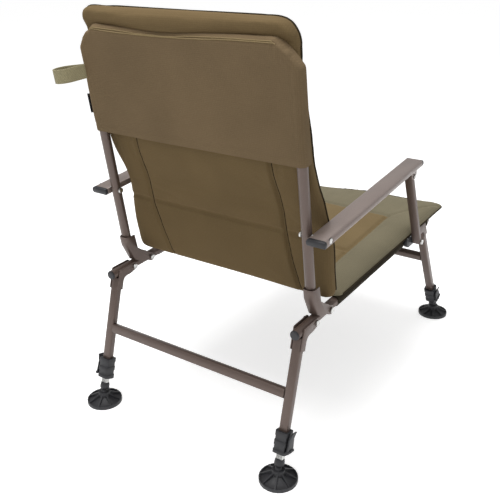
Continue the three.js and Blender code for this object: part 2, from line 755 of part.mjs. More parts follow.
function armCap(from, to, stubFrom, stubTo, nose) {
  const head = sidePrism(rounded([[-from, armUnder], [-to, armUnder], [-to, armUpper], [-from, armUpper]],
    nose), armInner, armOuter);
  const body = common(head, alongArm(armSection(0), Math.min(from, to) - toolPast, Math.max(from, to) + toolPast));
  const stub = alongArm(armSection(armWall + gap), stubFrom, stubTo);
  return joined(body, stub);
}
const rearCapEnd = armRear + armRearCap;
const frontCapStart = armFront - armFrontCap;
addPair('armrest_rear_cap', moved(armCap(armRear, rearCapEnd, rearCapEnd - plateWall, rearCapEnd + armCapStub,
  [armCorner, 0, 0, armCorner]), armFrame), 'plastic');
addPair('armrest_front_cap', moved(armCap(frontCapStart, armFront, frontCapStart - armCapStub, frontCapStart + plateWall,
  [0, armCorner, armCorner, 0]), armFrame), 'plastic');

const armBoltForm = joined(
  rod(nutRadius, railHalfSpacing - backRadius - gap - nutTall, railHalfSpacing - backRadius - gap,
    yAt(armBoltForward), armBoltHeight, 6),
  rod(boltRadius, railHalfSpacing - backRadius - gap - nutTall, armOuter - plateWall / 2, yAt(armBoltForward),
    armBoltHeight),
  rod(armHeadRadius, armOuter - armWall, armOuter - gap, yAt(armBoltForward), armBoltHeight),
);
addPair('armrest_rear_bolt', armBoltForm, 'steel');

const earOutside = postOuter + gap + earThick + gap;
const earInside = postStandOff - gap - earThick - gap;
const earPin = joined(
  rod(pinHeadRadius, earOutside, earOutside + pinHeadTall, yAt(postTop.x), postTop.y),
  rod(boltRadius, earInside - pinHeadTall, earOutside + pinHeadTall, yAt(postTop.x), postTop.y),
  rod(pinHeadRadius, earInside - pinHeadTall, earInside, yAt(postTop.x), postTop.y),
);
addPair('armrest_front_pin', earPin, 'steel');

// Arm posts
const postFoot = new THREE.Vector2(yAt(postForward), railHeight(postForward));
const postHead = new THREE.Vector2(yAt(postTop.x), postTop.y);
const postLine = postHead.clone().sub(postFoot);
const postLength = postLine.length();
const postFrame = new THREE.Matrix4().makeTranslation(0, postFoot.x, postFoot.y)
  .multiply(new THREE.Matrix4().makeRotationX(postLine.angle() - Math.PI / 2));
const postMiddle = postStandOff + postWidth / 2;
const postSection = prism(rectangle(postWidth, postDepth, postCorner), -postDepth, postLength + postDepth)
  .translate(postMiddle, 0, 0);
const postHollow = prism(rectangle(postWidth - 2 * postWall, postDepth - 2 * postWall, postCorner - postWall),
  -2 * postDepth, postLength + 2 * postDepth).translate(postMiddle, 0, 0);
const postEnds = sidePrism(vectors([...arc(0, postLength, postDepth / 2 + gap, 0, 180, endSteps),
  ...arc(0, 0, postDepth / 2 + gap, 180, 360, endSteps)]), postStandOff - toolPast, postOuter + toolPast);
const postForm = moved(cut(common(postSection, postEnds), postHollow), postFrame);
addPair('arm_post', cut(postForm, bore(yAt(postForward), railHeight(postForward)), earBore), 'paint');

// Soft forms
function spread(half, radius, between) {
  const edge = edgeShares.map((share) => radius * share - half);
  const right = [...edge].reverse().map((value) => -value);
  return [...edge, ...between, ...right];
}

function padForm({ across, rows, halfAt, length, cornerStart, cornerEnd, place }) {
  const count = across.length;
  const face = [];
  const back = [];
  for (const row of rows) {
    for (const column of across) {
      const half = halfAt(row);
      let side = Math.abs(column) / Math.abs(across[0]) * half;
      let along = row;
      const corner = row < length / 2 ? cornerStart : cornerEnd;
      const fromEnd = row < length / 2 ? row : length - row;
      let inside = Math.min(half - side, fromEnd);
      if (half - side < corner && fromEnd < corner) {
        const p = (side - half + corner) / corner;
        const q = (corner - fromEnd) / corner;
        const [u, v] = [p * Math.sqrt(1 - q * q / 2), q * Math.sqrt(1 - p * p / 2)];
        side = half - corner + u * corner;
        const newEnd = corner - v * corner;
        along = row < length / 2 ? newEnd : length - newEnd;
        inside = corner * (1 - Math.hypot(u, v));
      }
      const { centre, normal, front, rear, round } = place(Math.sign(column) * side, along);
      const share = 1 - Math.min(Math.max(inside, 0) / round, 1);
      const rise = Math.sqrt(Math.max(1 - share * share, 0));
      face.push(centre.clone().addScaledVector(normal, front * rise));
      back.push(centre.clone().addScaledVector(normal, -rear * rise));
    }
  }
  const corners = [];
  const quad = (grid, a, b, c, d) => corners.push(grid[a], grid[b], grid[c], grid[a], grid[c], grid[d]);
  for (let r = 0; r < rows.length - 1; r += 1) {
    for (let c = 0; c < count - 1; c += 1) {
      const at = r * count + c;
      quad(face, at, at + 1, at + 1 + count, at + count);
      quad(back, at, at + count, at + 1 + count, at + 1);
    }
  }
  const geometry = new THREE.BufferGeometry().setFromPoints(corners);
  return surface(solid(geometry));
}

const channel = (distance) => Math.max(0, 1 - (distance / channelWidth) ** 2);

// Seat cushion: thickest over the knees, a sagging nose, a channel across the centre and a seam round it
function seatCushion() {
  const length = seatEnd - seatStart;
  const round = Math.max(...seatThickness.map(([, thick]) => thick)) / 2;
  const seam = seatHalfWidth - seatSideBorder;
  const frontSeam = seatEnd - seatFrontBorder;
  const across = spread(seatHalfWidth, round, [-seam - channelWidth, -seam, -seam + channelWidth, -seam / 2, 0,
    seam / 2, seam - channelWidth, seam, seam + channelWidth]);
  const rows = [];
  for (const share of edgeShares) {
    rows.push(share * round, length - share * round);
  }
  for (const at of [...seatChannels, frontSeam]) {
    rows.push(at - seatStart - channelWidth, at - seatStart, at - seatStart + channelWidth);
  }
  for (const [forward] of seatThickness.slice(2, -1)) {
    if (forward < seatEnd - round) {
      rows.push(forward - seatStart);
    }
  }
  rows.sort((a, b) => a - b);
  const place = (x, along) => {
    const forward = seatStart + along;
    const thick = tableAt(seatThickness, forward);
    const crown = tableAt(seatCrown, forward) * (1 - (x / seatHalfWidth) ** 2);
    const inCentre = Math.abs(x) < seam + channelWidth / 2;
    let dip = forward < frontSeam ? channel(Math.abs(x) - seam) : 0;
    if (inCentre) {
      dip = [...seatChannels, frontSeam].reduce((most, at) => Math.max(most, channel(forward - at)), dip);
    }
    return {
      centre: new THREE.Vector3(-x, -alongRail(forward), seatBase + thick / 2),
      normal: new THREE.Vector3(0, 0, 1),
      front: thick / 2 + crown - dip * channelDepth,
      rear: thick / 2,
      round: thick / 2,
    };
  };
  return moved(padForm({ across, rows, halfAt: () => seatHalfWidth, length, cornerStart: seatRearCorner,
    cornerEnd: seatFrontCorner, place }), railFrame);
}
add('seat_cushion', seatCushion(), 'seatCloth');

// Back cushion along its centre line, with a separate rear cover panel
const padSteps = [0];
for (let i = 1; i < backPadLine.length; i += 1) {
  const [a, b] = [backPadLine[i - 1], backPadLine[i]];
  padSteps.push(padSteps.at(-1) + Math.hypot(b[0] - a[0], b[1] - a[1]));
}
const padLength = padSteps.at(-1);

function padLineAt(along) {
  const tables = [0, 1, 2].map((item) => padSteps.map((step, i) => [step, backPadLine[i][item]]));
  const at = (item, where) => {
    const near = padLength / 60;
    const [below, here, above] = [-near, 0, near].map((step) => tableAt(tables[item], where + step));
    return (below + here + above) / 3;
  };
  const span = padLength / 40;
  const low = Math.max(along - span, 0);
  const high = Math.min(along + span, padLength);
  const tangent = new THREE.Vector2(at(0, high) - at(0, low), at(1, high) - at(1, low)).normalize();
  return { forward: backPivotForward + at(0, along), up: at(1, along), thick: at(2, along), tangent };
}

const padRound = backPadLine[3][2] / 2;
const padRow = (k) => padRound + (padLength - 2 * padRound) * k / padCells;

function backCushion() {
  const across = spread(backHalfWidth, padRound, [-backSeam - channelWidth, -backSeam, -backSeam + channelWidth,
    -backSeam / 2, 0, backSeam / 2, backSeam - channelWidth, backSeam, backSeam + channelWidth]);
  const rows = edgeShares.map((share) => share * padRound);
  for (let k = 1; k < padCells; k += 1) {
    rows.push(padRow(k));
  }
  edgeShares.forEach((share) => rows.push(padLength - share * padRound));
  rows.sort((a, b) => a - b);
  const halfAt = (along) => backHalfWidth + tableAt(backSides, padLineAt(along).up);
  const place = (x, along) => {
    const { forward, up, thick, tangent } = padLineAt(along);
    const crown = tableAt(backCrown, up) * (1 - (x / backHalfWidth) ** 2);
    const dip = Math.max(channel(Math.abs(x) - backSeam), channel(up - backCross));
    return {
      centre: new THREE.Vector3(x, yAt(forward), backPivotHeight + up),
      normal: new THREE.Vector3(0, -tangent.y, -tangent.x),
      front: thick / 2 + crown - dip * channelDepth,
      rear: thick / 2,
      round: thick / 2,
    };
  };
  return padForm({ across, rows, halfAt, length: padLength, cornerStart: backBottomCorner, cornerEnd: backTopCorner,
    place });
}
add('back_cushion', backCushion(), 'backCloth');

function backPanel() {
  const front = [];
  const rear = [];
  for (let k = 1; k < padCells; k += 1) {
    const { forward, up, thick, tangent } = padLineAt(padRow(k));
    if (up >= panelStart && up <= panelEnd) {
      const out = thick / 2 + panelGap;
      const [y, z] = [yAt(forward), backPivotHeight + up];
      front.push([y + tangent.y * out, z + tangent.x * out]);
      rear.push([y + tangent.y * (out + panelThick), z + tangent.x * (out + panelThick)]);
    }
  }
  return sidePrism(vectors([...front, ...rear.reverse()]), -panelHalfWidth, panelHalfWidth);
}
add('back_panel', backPanel(), 'backCloth');

// Hood: a sleeve of cloth over the top of the frame, open below and in front, its upper corners cut off
function hoodPath(inset, bottom) {
  const [half, top] = [hoodHalfWidth - inset, hoodTop - inset];
  const chamfer = hoodChamfer - inset * (2 - Math.SQRT2);
  const corner = hoodCorner - inset;
  return rounded([[-half, bottom], [half, bottom], [half, top - chamfer], [half - chamfer, top],
    [chamfer - half, top], [-half, top - chamfer]], [0, 0, corner, corner, corner, corner]);
}
const hoodForm = cut(prism(hoodPath(0, hoodBottom), hoodBack, hoodFront),
  prism(hoodPath(hoodWall, hoodBottom - hoodWall), hoodBack + hoodWall, hoodFront + hoodWall)).rotateX(Math.PI / 2);
add('hood', moved(hoodForm, backFrame), 'hoodCloth');

// Webbing loop at the hood's side
function webbingLoop() {
  const outer = rounded([[0, -loopThick / 2], [loopLength, -loopThick / 2], [loopLength, loopThick / 2],
    [0, loopThick / 2]], loopThick / 2 - runningGap);
  const inner = rounded([[loopBand, loopBand - loopThick / 2], [loopLength - loopBand, loopBand - loopThick / 2],
    [loopLength - loopBand, loopThick / 2 - loopBand], [loopBand, loopThick / 2 - loopBand]],
  loopThick / 2 - runningGap - loopBand);
  const form = cut(prism(outer, 0, loopTall), prism(inner, -loopBand, loopTall + loopBand));
  return form.rotateZ(rad(loopTurn)).translate(loopSide, loopBack, loopAlong - loopTall / 2);
}
add('side_strap', moved(webbingLoop(), backFrame), 'webbing');

export default chair;
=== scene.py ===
"""The looks of a folding fishing chair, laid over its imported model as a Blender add-on layout."""

import json
import math

import bpy
import numpy as np
from bpy.props import FloatProperty, FloatVectorProperty, PointerProperty
from mathutils import Matrix, Vector, noise
from mathutils.bvhtree import BVHTree

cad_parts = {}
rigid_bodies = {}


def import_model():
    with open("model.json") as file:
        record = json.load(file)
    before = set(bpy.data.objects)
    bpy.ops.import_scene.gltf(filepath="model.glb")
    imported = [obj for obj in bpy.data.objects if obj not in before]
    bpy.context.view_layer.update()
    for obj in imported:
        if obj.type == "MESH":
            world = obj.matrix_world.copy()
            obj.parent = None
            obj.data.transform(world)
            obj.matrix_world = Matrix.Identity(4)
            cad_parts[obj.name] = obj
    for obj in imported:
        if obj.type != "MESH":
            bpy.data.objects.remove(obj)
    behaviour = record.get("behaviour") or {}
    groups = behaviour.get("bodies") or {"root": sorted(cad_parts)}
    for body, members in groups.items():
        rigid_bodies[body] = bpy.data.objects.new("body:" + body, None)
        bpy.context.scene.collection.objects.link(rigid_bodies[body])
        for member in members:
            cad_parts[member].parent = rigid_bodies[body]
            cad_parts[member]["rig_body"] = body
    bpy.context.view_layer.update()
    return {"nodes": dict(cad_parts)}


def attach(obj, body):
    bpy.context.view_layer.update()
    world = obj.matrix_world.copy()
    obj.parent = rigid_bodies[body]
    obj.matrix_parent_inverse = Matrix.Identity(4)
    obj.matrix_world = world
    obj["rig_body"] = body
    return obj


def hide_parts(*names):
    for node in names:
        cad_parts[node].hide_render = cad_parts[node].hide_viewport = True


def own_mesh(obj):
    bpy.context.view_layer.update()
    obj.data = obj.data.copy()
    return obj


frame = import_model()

bl_info = {
    "name": "Folding fishing chair",
    "version": (1, 0, 0),
    "blender": (4, 5, 0),
    "location": "3D View > Sidebar > Chair",
    "description": "Dresses the packed frame of a folding fishing chair in cloth, paint and fittings",
    "category": "Object",
}

MM = 0.001
SIDES = {"left": 1, "right": -1}

# The chair's frames: the rail, the back frame and the legs. Forward is counted from the rear foot.
REAR_FOOT_Y = 0.408
RAIL_SIDE = 0.235
RAIL_RADIUS = 0.0104
RAIL_START = (0.0493, 0.2962)
RAIL_RISE = math.radians(2.04)
ARM_BOLT = (0.0889, 0.485)
RECLINE = math.radians(9.1)
BALL_HEIGHT = 0.024
FOOT_SPACING = 0.816


def linear(code):
    """An sRGB hex code as linear RGBA."""
    values = [int(code[i : i + 2], 16) / 255 for i in (1, 3, 5)]
    return (*[v / 12.92 if v <= 0.04045 else ((v + 0.055) / 1.055) ** 2.4 for v in values], 1.0)


def number(name, description, default, **kind):
    return FloatProperty(name=name, description=description, default=default, **kind)


def size(name, description, default):
    return number(name, description, default, unit="LENGTH", subtype="DISTANCE", precision=4)


def colour(name, description, code):
    return FloatVectorProperty(
        name=name, description=description, default=linear(code), size=4, subtype="COLOR", min=0, max=1
    )


# Places in the chair's own frames
def rail_point(x, forward, up):
    along = (forward - RAIL_START[0]) / math.cos(RAIL_RISE)
    y = REAR_FOOT_Y - RAIL_START[0] - along * math.cos(RAIL_RISE) + up * math.sin(RAIL_RISE)
    return Vector((x, y, RAIL_START[1] + along * math.sin(RAIL_RISE) + up * math.cos(RAIL_RISE)))


def back_point(x, rearward, along):
    y = REAR_FOOT_Y - ARM_BOLT[0] + rearward * math.cos(RECLINE) + along * math.sin(RECLINE)
    return Vector((x, y, ARM_BOLT[1] - rearward * math.sin(RECLINE) + along * math.cos(RECLINE)))


def leg_frame(end):
    """A leg's frame, with z up the leg and its origin at the pivot, and how far down its foot is."""
    pivot, foot, offset, way = {
        "rear": (0.1144, 0.0, 0.0388, 1),
        "front": (0.613, FOOT_SPACING, 0.039, -1),
    }[end]
    run = abs(foot - pivot)
    height = RAIL_START[1] + (pivot - RAIL_START[0]) * math.tan(RAIL_RISE)
    rise = height - BALL_HEIGHT
    reach = math.sqrt(run * run + rise * rise - offset * offset)
    lean = math.atan2(run, rise) - math.atan2(offset, reach)
    place = Matrix.Translation((0, REAR_FOOT_Y - pivot, height))
    return place @ Matrix.Diagonal((1, way, 1, 1)) @ Matrix.Rotation(lean, 4, "X"), reach


# Making and finishing pieces
OUTWARD = (bpy.ops.mesh.normals_make_consistent, {"inside": False})


def only(piece):
    bpy.ops.object.select_all(action="DESELECT")
    piece.select_set(True)
    bpy.context.view_layer.objects.active = piece


def grid_faces(rows, across, kept=lambda row, column: True):
    """The faces of a grid of points that was made row by row."""
    starts = [r * across + c for r in range(rows - 1) for c in range(across - 1) if kept(r, c)]
    return [(a, a + 1, a + 1 + across, a + across) for a in starts]


def from_mesh(name, vertices, faces):
    mesh = bpy.data.meshes.new(name)
    mesh.from_pydata([tuple(v) for v in vertices], [], faces)
    mesh.update()
    piece = bpy.data.objects.new(name, mesh)
    bpy.context.scene.collection.objects.link(piece)
    only(piece)
    return piece


def modify(piece, kind, **settings):
    """Adds a modifier with these settings and applies it."""
    only(piece)
    modifier = piece.modifiers.new(kind.title(), kind)
    for name, value in settings.items():
        setattr(modifier, name, value)
    bpy.ops.object.modifier_apply(modifier=modifier.name)


def edit(piece, *steps):
    """Runs edit-mode operators on the whole of a piece."""
    only(piece)
    bpy.ops.object.mode_set(mode="EDIT")
    bpy.ops.mesh.select_all(action="SELECT")
    for operator, settings in steps:
        operator(**settings)
    bpy.ops.object.mode_set(mode="OBJECT")


def subdivided(piece):
    modify(piece, "SUBSURF", levels=1, render_levels=1)


def settle(piece):
    """Puts a piece's place into its mesh, so that its object is at the origin."""
    only(piece)
    bpy.ops.object.transform_apply(location=True, rotation=True, scale=True)


def smooth(piece, angle=40):
    only(piece)
    bpy.ops.object.shade_smooth_by_angle(angle=math.radians(angle))


def points_of(piece):
    flat = np.zeros(len(piece.data.vertices) * 3)
    piece.data.vertices.foreach_get("co", flat)
    return flat.reshape(-1, 3)


def normals_of(piece):
    flat = np.zeros(len(piece.data.vertices) * 3, np.float32)
    piece.data.vertex_normals.foreach_get("vector", flat)
    return flat.reshape(-1, 3).astype(float)


def set_points(piece, points):
    piece.data.vertices.foreach_set("co", np.asarray(points, np.float32).ravel())
    piece.data.update()


def carve(piece, depth_at):
    """Moves each point in along its normal by depth_at(points, normals), in metres."""
    points, normals = points_of(piece), normals_of(piece)
    set_points(piece, points - normals * depth_at(points, normals)[:, None])


def join(name, pieces):
    bpy.ops.object.select_all(action="DESELECT")
    for piece in pieces:
        piece.select_set(True)
    bpy.context.view_layer.objects.active = pieces[0]
    if len(pieces) > 1:
        bpy.ops.object.join()
    pieces[0].name = pieces[0].data.name = name
    return pieces[0]


def cord_mesh(name, routes, radius, steps=3):
    """A round cord along each route, as one mesh."""
    curve = bpy.data.curves.new(name, "CURVE")
    curve.dimensions = "3D"
    curve.bevel_depth = radius
    curve.bevel_resolution = steps
    curve.use_fill_caps = True
    for route in routes:
        spline = curve.splines.new("POLY")
        spline.points.add(len(route) - 1)
        spline.points.foreach_set("co", np.array([(*p, 1) for p in route], np.float32).ravel())
    piece = bpy.data.objects.new(name, curve)
    bpy.context.scene.collection.objects.link(piece)
    only(piece)
    bpy.ops.object.convert(target="MESH")
    smooth(bpy.context.view_layer.objects.active, 60)
    return bpy.context.view_layer.objects.active


def tree_of(piece):
    mesh = piece.data
    return BVHTree.FromPolygons([v.co for v in mesh.vertices], [p.vertices for p in mesh.polygons])


def snapped(tree, route, out):
    """Each point of a route moved to the surface, and a little out of it."""
    placed = []
    for point in route:
        at, normal, _, _ = tree.find_nearest(Vector(point))
        placed.append(at + normal * out)
    return placed


def finish_piece(piece, body, materials, nodes=()):
    """Gives a piece its materials and slot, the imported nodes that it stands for, and its moving body."""
    piece.data.materials.clear()
    for material in materials if isinstance(materials, list) else [materials]:
        piece.data.materials.append(material)
    if nodes:
        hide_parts(*nodes)
    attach(piece, body)


def trim(name, body, routes, radius, material, steps=3):
    piece = cord_mesh(name, routes, radius, steps)
    finish_piece(piece, body, material)
    return piece


# Materials
def add(tree, kind, inputs=(), **settings):
    """Adds a node with its own settings. Each input is set to its value, or linked where it is an output."""
    node = tree.nodes.new("ShaderNode" + kind)
    for name, value in settings.items():
        setattr(node, name, value)
    for socket, value in dict(inputs).items():
        if isinstance(value, bpy.types.NodeSocket):
            tree.links.new(value, node.inputs[socket])
        else:
            node.inputs[socket].default_value = value
    return node


def feed(tree, node, sources):
    for socket, source in sources.items():
        tree.links.new(source, node.inputs[socket])


def started(name, values):
    """A new material, with its shader's plain values on the shader's own sockets."""
    material = bpy.data.materials.new(name)
    material.use_nodes = True
    tree = material.node_tree
    tree.nodes.clear()
    shader = add(tree, "BsdfPrincipled", values)
    add(tree, "OutputMaterial", {"Surface": shader.outputs[0]})
    return material, tree, shader, add(tree, "TexCoord").outputs["Object"]


def per_metre(millimetres):
    """A texture scale that gives features this many millimetres apart."""
    return 1000 / millimetres


def scaled(rgba, share):
    return (*[min(c * share, 1) for c in rgba[:3]], 1)


def noise_of(tree, place, spacing, detail=2.0, roughness=0.5):
    """Noise with features this many millimetres apart."""
    values = {"Vector": place, "Scale": per_metre(spacing), "Detail": detail, "Roughness": roughness}
    return add(tree, "TexNoise", values).outputs[0]


def waves_of(tree, place, spacing, direction, distortion, detail_scale):
    """Threads or ribs drawn this many millimetres wide."""
    values = {"Vector": place, "Scale": per_metre(spacing) / 20 * math.tau / 2, "Distortion": distortion,
              "Detail": 1.0, "Detail Scale": detail_scale}
    return add(tree, "TexWave", values, bands_direction=direction).outputs[1]


def maths(tree, operation, a, b=0.0):
    return add(tree, "Math", {0: a, 1: b}, operation=operation).outputs[0]


def mixed(tree, factor, a, b, blend="MIX"):
    """A colour mix of two outputs or colours, by an output or a number."""
    return add(tree, "Mix", {0: factor, 6: a, 7: b}, data_type="RGBA", blend_type=blend).outputs[2]


def spread_of(tree, source, low, high, to_low=0.0, to_high=1.0):
    """Maps a value from one range to another, held at its ends."""
    values = {"Value": source, "From Min": low, "From Max": high, "To Min": to_low, "To Max": to_high}
    return add(tree, "MapRange", values).outputs[0]


def bumped(tree, height, strength, distance):
    return add(tree, "Bump", {"Height": height, "Strength": strength, "Distance": distance}).outputs[0]


def cloth(name, rgba, thread, upright, sheen=0.35, centre=None, panel=None):
    """Brushed polyester cloth: woven threads, a short soft nap and slow changes of shade."""
    material, tree, shader, place = started(
        name,
        {"Roughness": 0.93, "Specular IOR Level": 0.18, "Sheen Weight": sheen, "Sheen Roughness": 0.45,
         "Sheen Tint": scaled(rgba, 2.2)},
    )
    # The real threads are 0.4 mm apart. They are drawn wider, so that the weave shows.
    warp, weft = [waves_of(tree, place, thread, way, 1.1, 1.5) for way in ("X", "Z" if upright else "Y")]
    weave = maths(tree, "MULTIPLY", warp, weft)
    nap = noise_of(tree, place, 2.2, 3.0, 0.7)
    base = rgba
    if centre is not None:
        half, front = panel
        parts = add(tree, "SeparateXYZ", {0: place}).outputs
        inside = maths(tree, "LESS_THAN", maths(tree, "ABSOLUTE", parts[0]), half)
        behind = maths(tree, "GREATER_THAN", parts[1], front)
        base = mixed(tree, maths(tree, "MULTIPLY", inside, behind), rgba, centre)
    shade = spread_of(tree, noise_of(tree, place, 110), 0.3, 0.7, 0.93, 1.06)
    flecks = spread_of(tree, nap, 0.25, 0.75, 0.9, 1.09)
    threads = spread_of(tree, weave, 0.0, 1.0, 0.92, 1.05)
    light = maths(tree, "MULTIPLY", maths(tree, "MULTIPLY", shade, flecks), threads)
    feed(tree, shader, {
        "Base Color": mixed(tree, 1.0, base, light, "MULTIPLY"),
        "Normal": bumped(tree, maths(tree, "ADD", nap, weave), 0.45, 0.0003),
    })
    return material


def painted_steel(name, rgba):
    """Steel tube in satin metallic powder paint: fine flakes, a slight orange peel, a dull gloss."""
    material, tree, shader, place = started(
        name, {"Metallic": 0.35, "Coat Weight": 0.12, "Coat Roughness": 0.35, "Specular IOR Level": 0.5}
    )
    flecks = spread_of(tree, noise_of(tree, place, 1.1, 2.0, 0.8), 0.35, 0.75, 0.9, 1.16)
    runs = noise_of(tree, place, 60, 3.0)
    drift = spread_of(tree, runs, 0.3, 0.7, 0.95, 1.05)
    feed(tree, shader, {
        "Base Color": mixed(tree, 1.0, rgba, maths(tree, "MULTIPLY", flecks, drift), "MULTIPLY"),
        "Roughness": spread_of(tree, runs, 0.3, 0.7, 0.36, 0.46),
        "Normal": bumped(tree, noise_of(tree, place, 3, 1.0), 0.25, 0.00015),
    })
    return material


def zinc(name, rgba):
    """Bright zinc plate on turned steel: fine turning marks and a faint bloom."""
    material, tree, shader, place = started(name, {"Metallic": 1.0})
    bloom = noise_of(tree, place, 8, 3.0)
    feed(tree, shader, {
        "Base Color": mixed(tree, spread_of(tree, bloom, 0.35, 0.65), scaled(rgba, 0.9), rgba),
        "Roughness": spread_of(tree, bloom, 0.3, 0.7, 0.2, 0.36),
        "Normal": bumped(tree, noise_of(tree, place, 0.8, 1.0), 0.2, 0.0001),
    })
    return material


def moulded_nylon(name, rgba):
    """Black glass-filled nylon, moulded: a fine spark-eroded grain and greyer handled patches."""
    material, tree, shader, place = started(name, {"Specular IOR Level": 0.45, "IOR": 1.53})
    patch = noise_of(tree, place, 18)
    feed(tree, shader, {
        "Base Color": mixed(tree, spread_of(tree, patch, 0.35, 0.7), rgba, scaled(rgba, 1.5)),
        "Roughness": spread_of(tree, patch, 0.3, 0.7, 0.42, 0.58),
        "Normal": bumped(tree, noise_of(tree, place, 0.9), 0.3, 0.00012),
    })
    return material


def webbing_tape(name, rgba, rib):
    """Flat woven polyester tape: coarse ribs, mottled by its heather yarn."""
    material, tree, shader, place = started(
        name, {"Roughness": 0.85, "Specular IOR Level": 0.25, "Sheen Weight": 0.3, "Sheen Roughness": 0.5}
    )
    ribs = waves_of(tree, place, rib, "DIAGONAL", 0.6, 1.0)
    yarn = spread_of(tree, noise_of(tree, place, 1.5, 3.0), 0.3, 0.7)
    tone = mixed(tree, yarn, scaled(rgba, 0.75), scaled(rgba, 1.15))
    feed(tree, shader, {
        "Base Color": mixed(tree, 1.0, tone, spread_of(tree, ribs, 0.0, 1.0, 0.82, 1.04), "MULTIPLY"),
        "Normal": bumped(tree, ribs, 0.5, 0.0005),
    })
    return material


# Settings
class SteelSettings(bpy.types.PropertyGroup):
    tube: colour("Tube paint", "Satin paint of the frame tubes and legs", "#62534c")
    arm: colour("Armrest paint", "Satin paint of the armrests", "#8b7e78")
    plate: colour("Zinc plate", "Plated bolts, nuts and sliding legs", "#c9c9c7")
    nylon: colour("Nylon", "Moulded feet, collars, levers and caps", "#242427")
    edge: size("Edge round", "Radius rolled onto the edges of metal parts", 0.0005)
    moulded_edge: size("Moulded edge", "Radius on the edges of moulded parts", 0.0006)
    dome: size("Bolt dome", "Roundness of bolt heads and nuts", 0.0011)


class SeatSettings(bpy.types.PropertyGroup):
    border: colour("Border cloth", "Olive cloth round the seat", "#7b745f")
    centre: colour("Centre cloth", "Tan cloth of the seat's middle", "#7b694a")
    half_width: size("Half width", "From the middle to the seat's side", 0.25)
    start: size("Rear edge", "How far forward the seat pad starts", 0.2)
    end: size("Front edge", "How far forward the seat pad ends", 0.773)
    base: size("Underside", "Height of the pad's underside over the rail's axis", 0.0123)
    side_border: size("Side border", "Width of the border at the sides", 0.072)
    front_border: size("Front border", "Width of the border in front", 0.183)
    corner: size("Front corner", "Radius of the front corners", 0.015)
    droop: size("Droop", "How far the front edge hangs down on the left", 0.014)
    groove: size("Channel width", "Half width of a sewn channel", 0.0085)
    depth: size("Channel depth", "How deep a sewn channel is drawn in", 0.004)
    rim: size("Rim", "Height of the sewn rim over the underside", 0.0035)
    piping: size("Piping radius", "Radius of the dark piping along the rim", 0.0019)
    slack: size("Slack", "How much smaller the pad is before it is filled", 0.003)
    swell: size("Swell", "The most that filling moves any point", 0.007)
    voxel: size("Cloth mesh", "Size of the mesh that the filling swells", 0.0052)


class BackSettings(bpy.types.PropertyGroup):
    cloth: colour("Back cloth", "Brown olive cloth of the back pad", "#6e5c3f")
    half_width: size("Half width", "From the middle to the back pad's side", 0.25)
    top_corner: size("Top right corner", "Radius of the top corner on the right", 0.044)
    left_corner: size("Top left corner", "Radius of the top corner on the left", 0.02)
    low_corner: size("Lower corner", "Radius of the lower corners", 0.022)
    seam: size("Seam", "From the middle to an upright seam", 0.16)
    cross: size("Cross seam", "Height of the seam across the back", 0.458)
    groove: size("Seam width", "Half width of a drawn-in seam", 0.0075)
    depth: size("Seam depth", "How deep a seam is drawn in", 0.0055)
    slack: size("Slack", "How much smaller the pad is before it is filled", 0.003)
    swell: size("Swell", "The most that filling moves any point", 0.007)
    voxel: size("Cloth mesh", "Size of the mesh that the filling swells", 0.0052)
    piping: size("Piping radius", "Radius of the piping round the pad", 0.0019)
    pressed: number("Pressed", "Share of its thickness left when folded", 0.35)
    press_line: size("Press line", "How far before the tubes the pad is pressed to", 0.022)


class HoodSettings(bpy.types.PropertyGroup):
    cloth: colour("Hood cloth", "Brown olive cloth of the hood", "#75634a")
    piping_cloth: colour("Piping", "Pale piping along the top seam", "#93815e")
    half_width: size("Half width", "From the middle to the hood's side", 0.2473)
    rear: size("Rear face", "From the tube's axis back to the cloth", 0.014)
    front: size("Front lip", "From the tube's axis forward to the lip", 0.01)
    bottom: size("Lower hem", "Along the tube from the armrest bolt", 0.139)
    top: size("Top", "Along the tube from the armrest bolt", 0.3556)
    corner: size("Corner", "How far the top corners are cut off", 0.046)
    edge: size("Edge round", "How roundly the cloth turns over the tube", 0.0115)
    wall: size("Cloth thickness", "Thickness of the lined cloth", 0.0012)
    sag: size("Sag", "How far the top edge sags between the corners", 0.0052)
    piping: size("Piping radius", "Radius of the piping along the top seam", 0.0009)


class WebbingSettings(bpy.types.PropertyGroup):
    tape: colour("Webbing", "Khaki tape of the side loop", "#a39a78")
    label: colour("Label", "Bare black woven label", "#0c0c0c")
    length: size("Loop length", "From the root to the end of the loop", 0.062)
    thick: size("Loop opening", "Across the loop, over both bands", 0.024)
    band: size("Tape thickness", "Thickness of one band", 0.002)
    tall: size("Tape width", "Height of the tape", 0.028)
    side: size("Root side", "Where the loop starts, across the chair", 0.241)
    rearward: size("Root depth", "Where the loop starts, behind the tube's axis", 0.0122)
    along: size("Root height", "Where the loop's middle is, along the tube", 0.263)
    turn: number("Turn", "Angle of the loop from straight sideways", math.radians(53.5), unit="ROTATION",
                 subtype="ANGLE")


class SlingSettings(bpy.types.PropertyGroup):
    cloth: colour("Sling cloth", "Dark coated mesh under the seat", "#332d22")
    binding: colour("Binding", "Dark binding and piping", "#352d1f")
    start: size("Rear edge", "How far forward the sling starts", 0.205)
    end: size("Front edge", "How far forward the sling ends", 0.678)
    thick: size("Thickness", "Thickness of the sling cloth", 0.0012)
    gap_start: size("Gap start", "Where the sleeve stops before the post block", 0.5285)
    gap_end: size("Gap end", "Where the sleeve goes on in front of the leg bracket", 0.655)


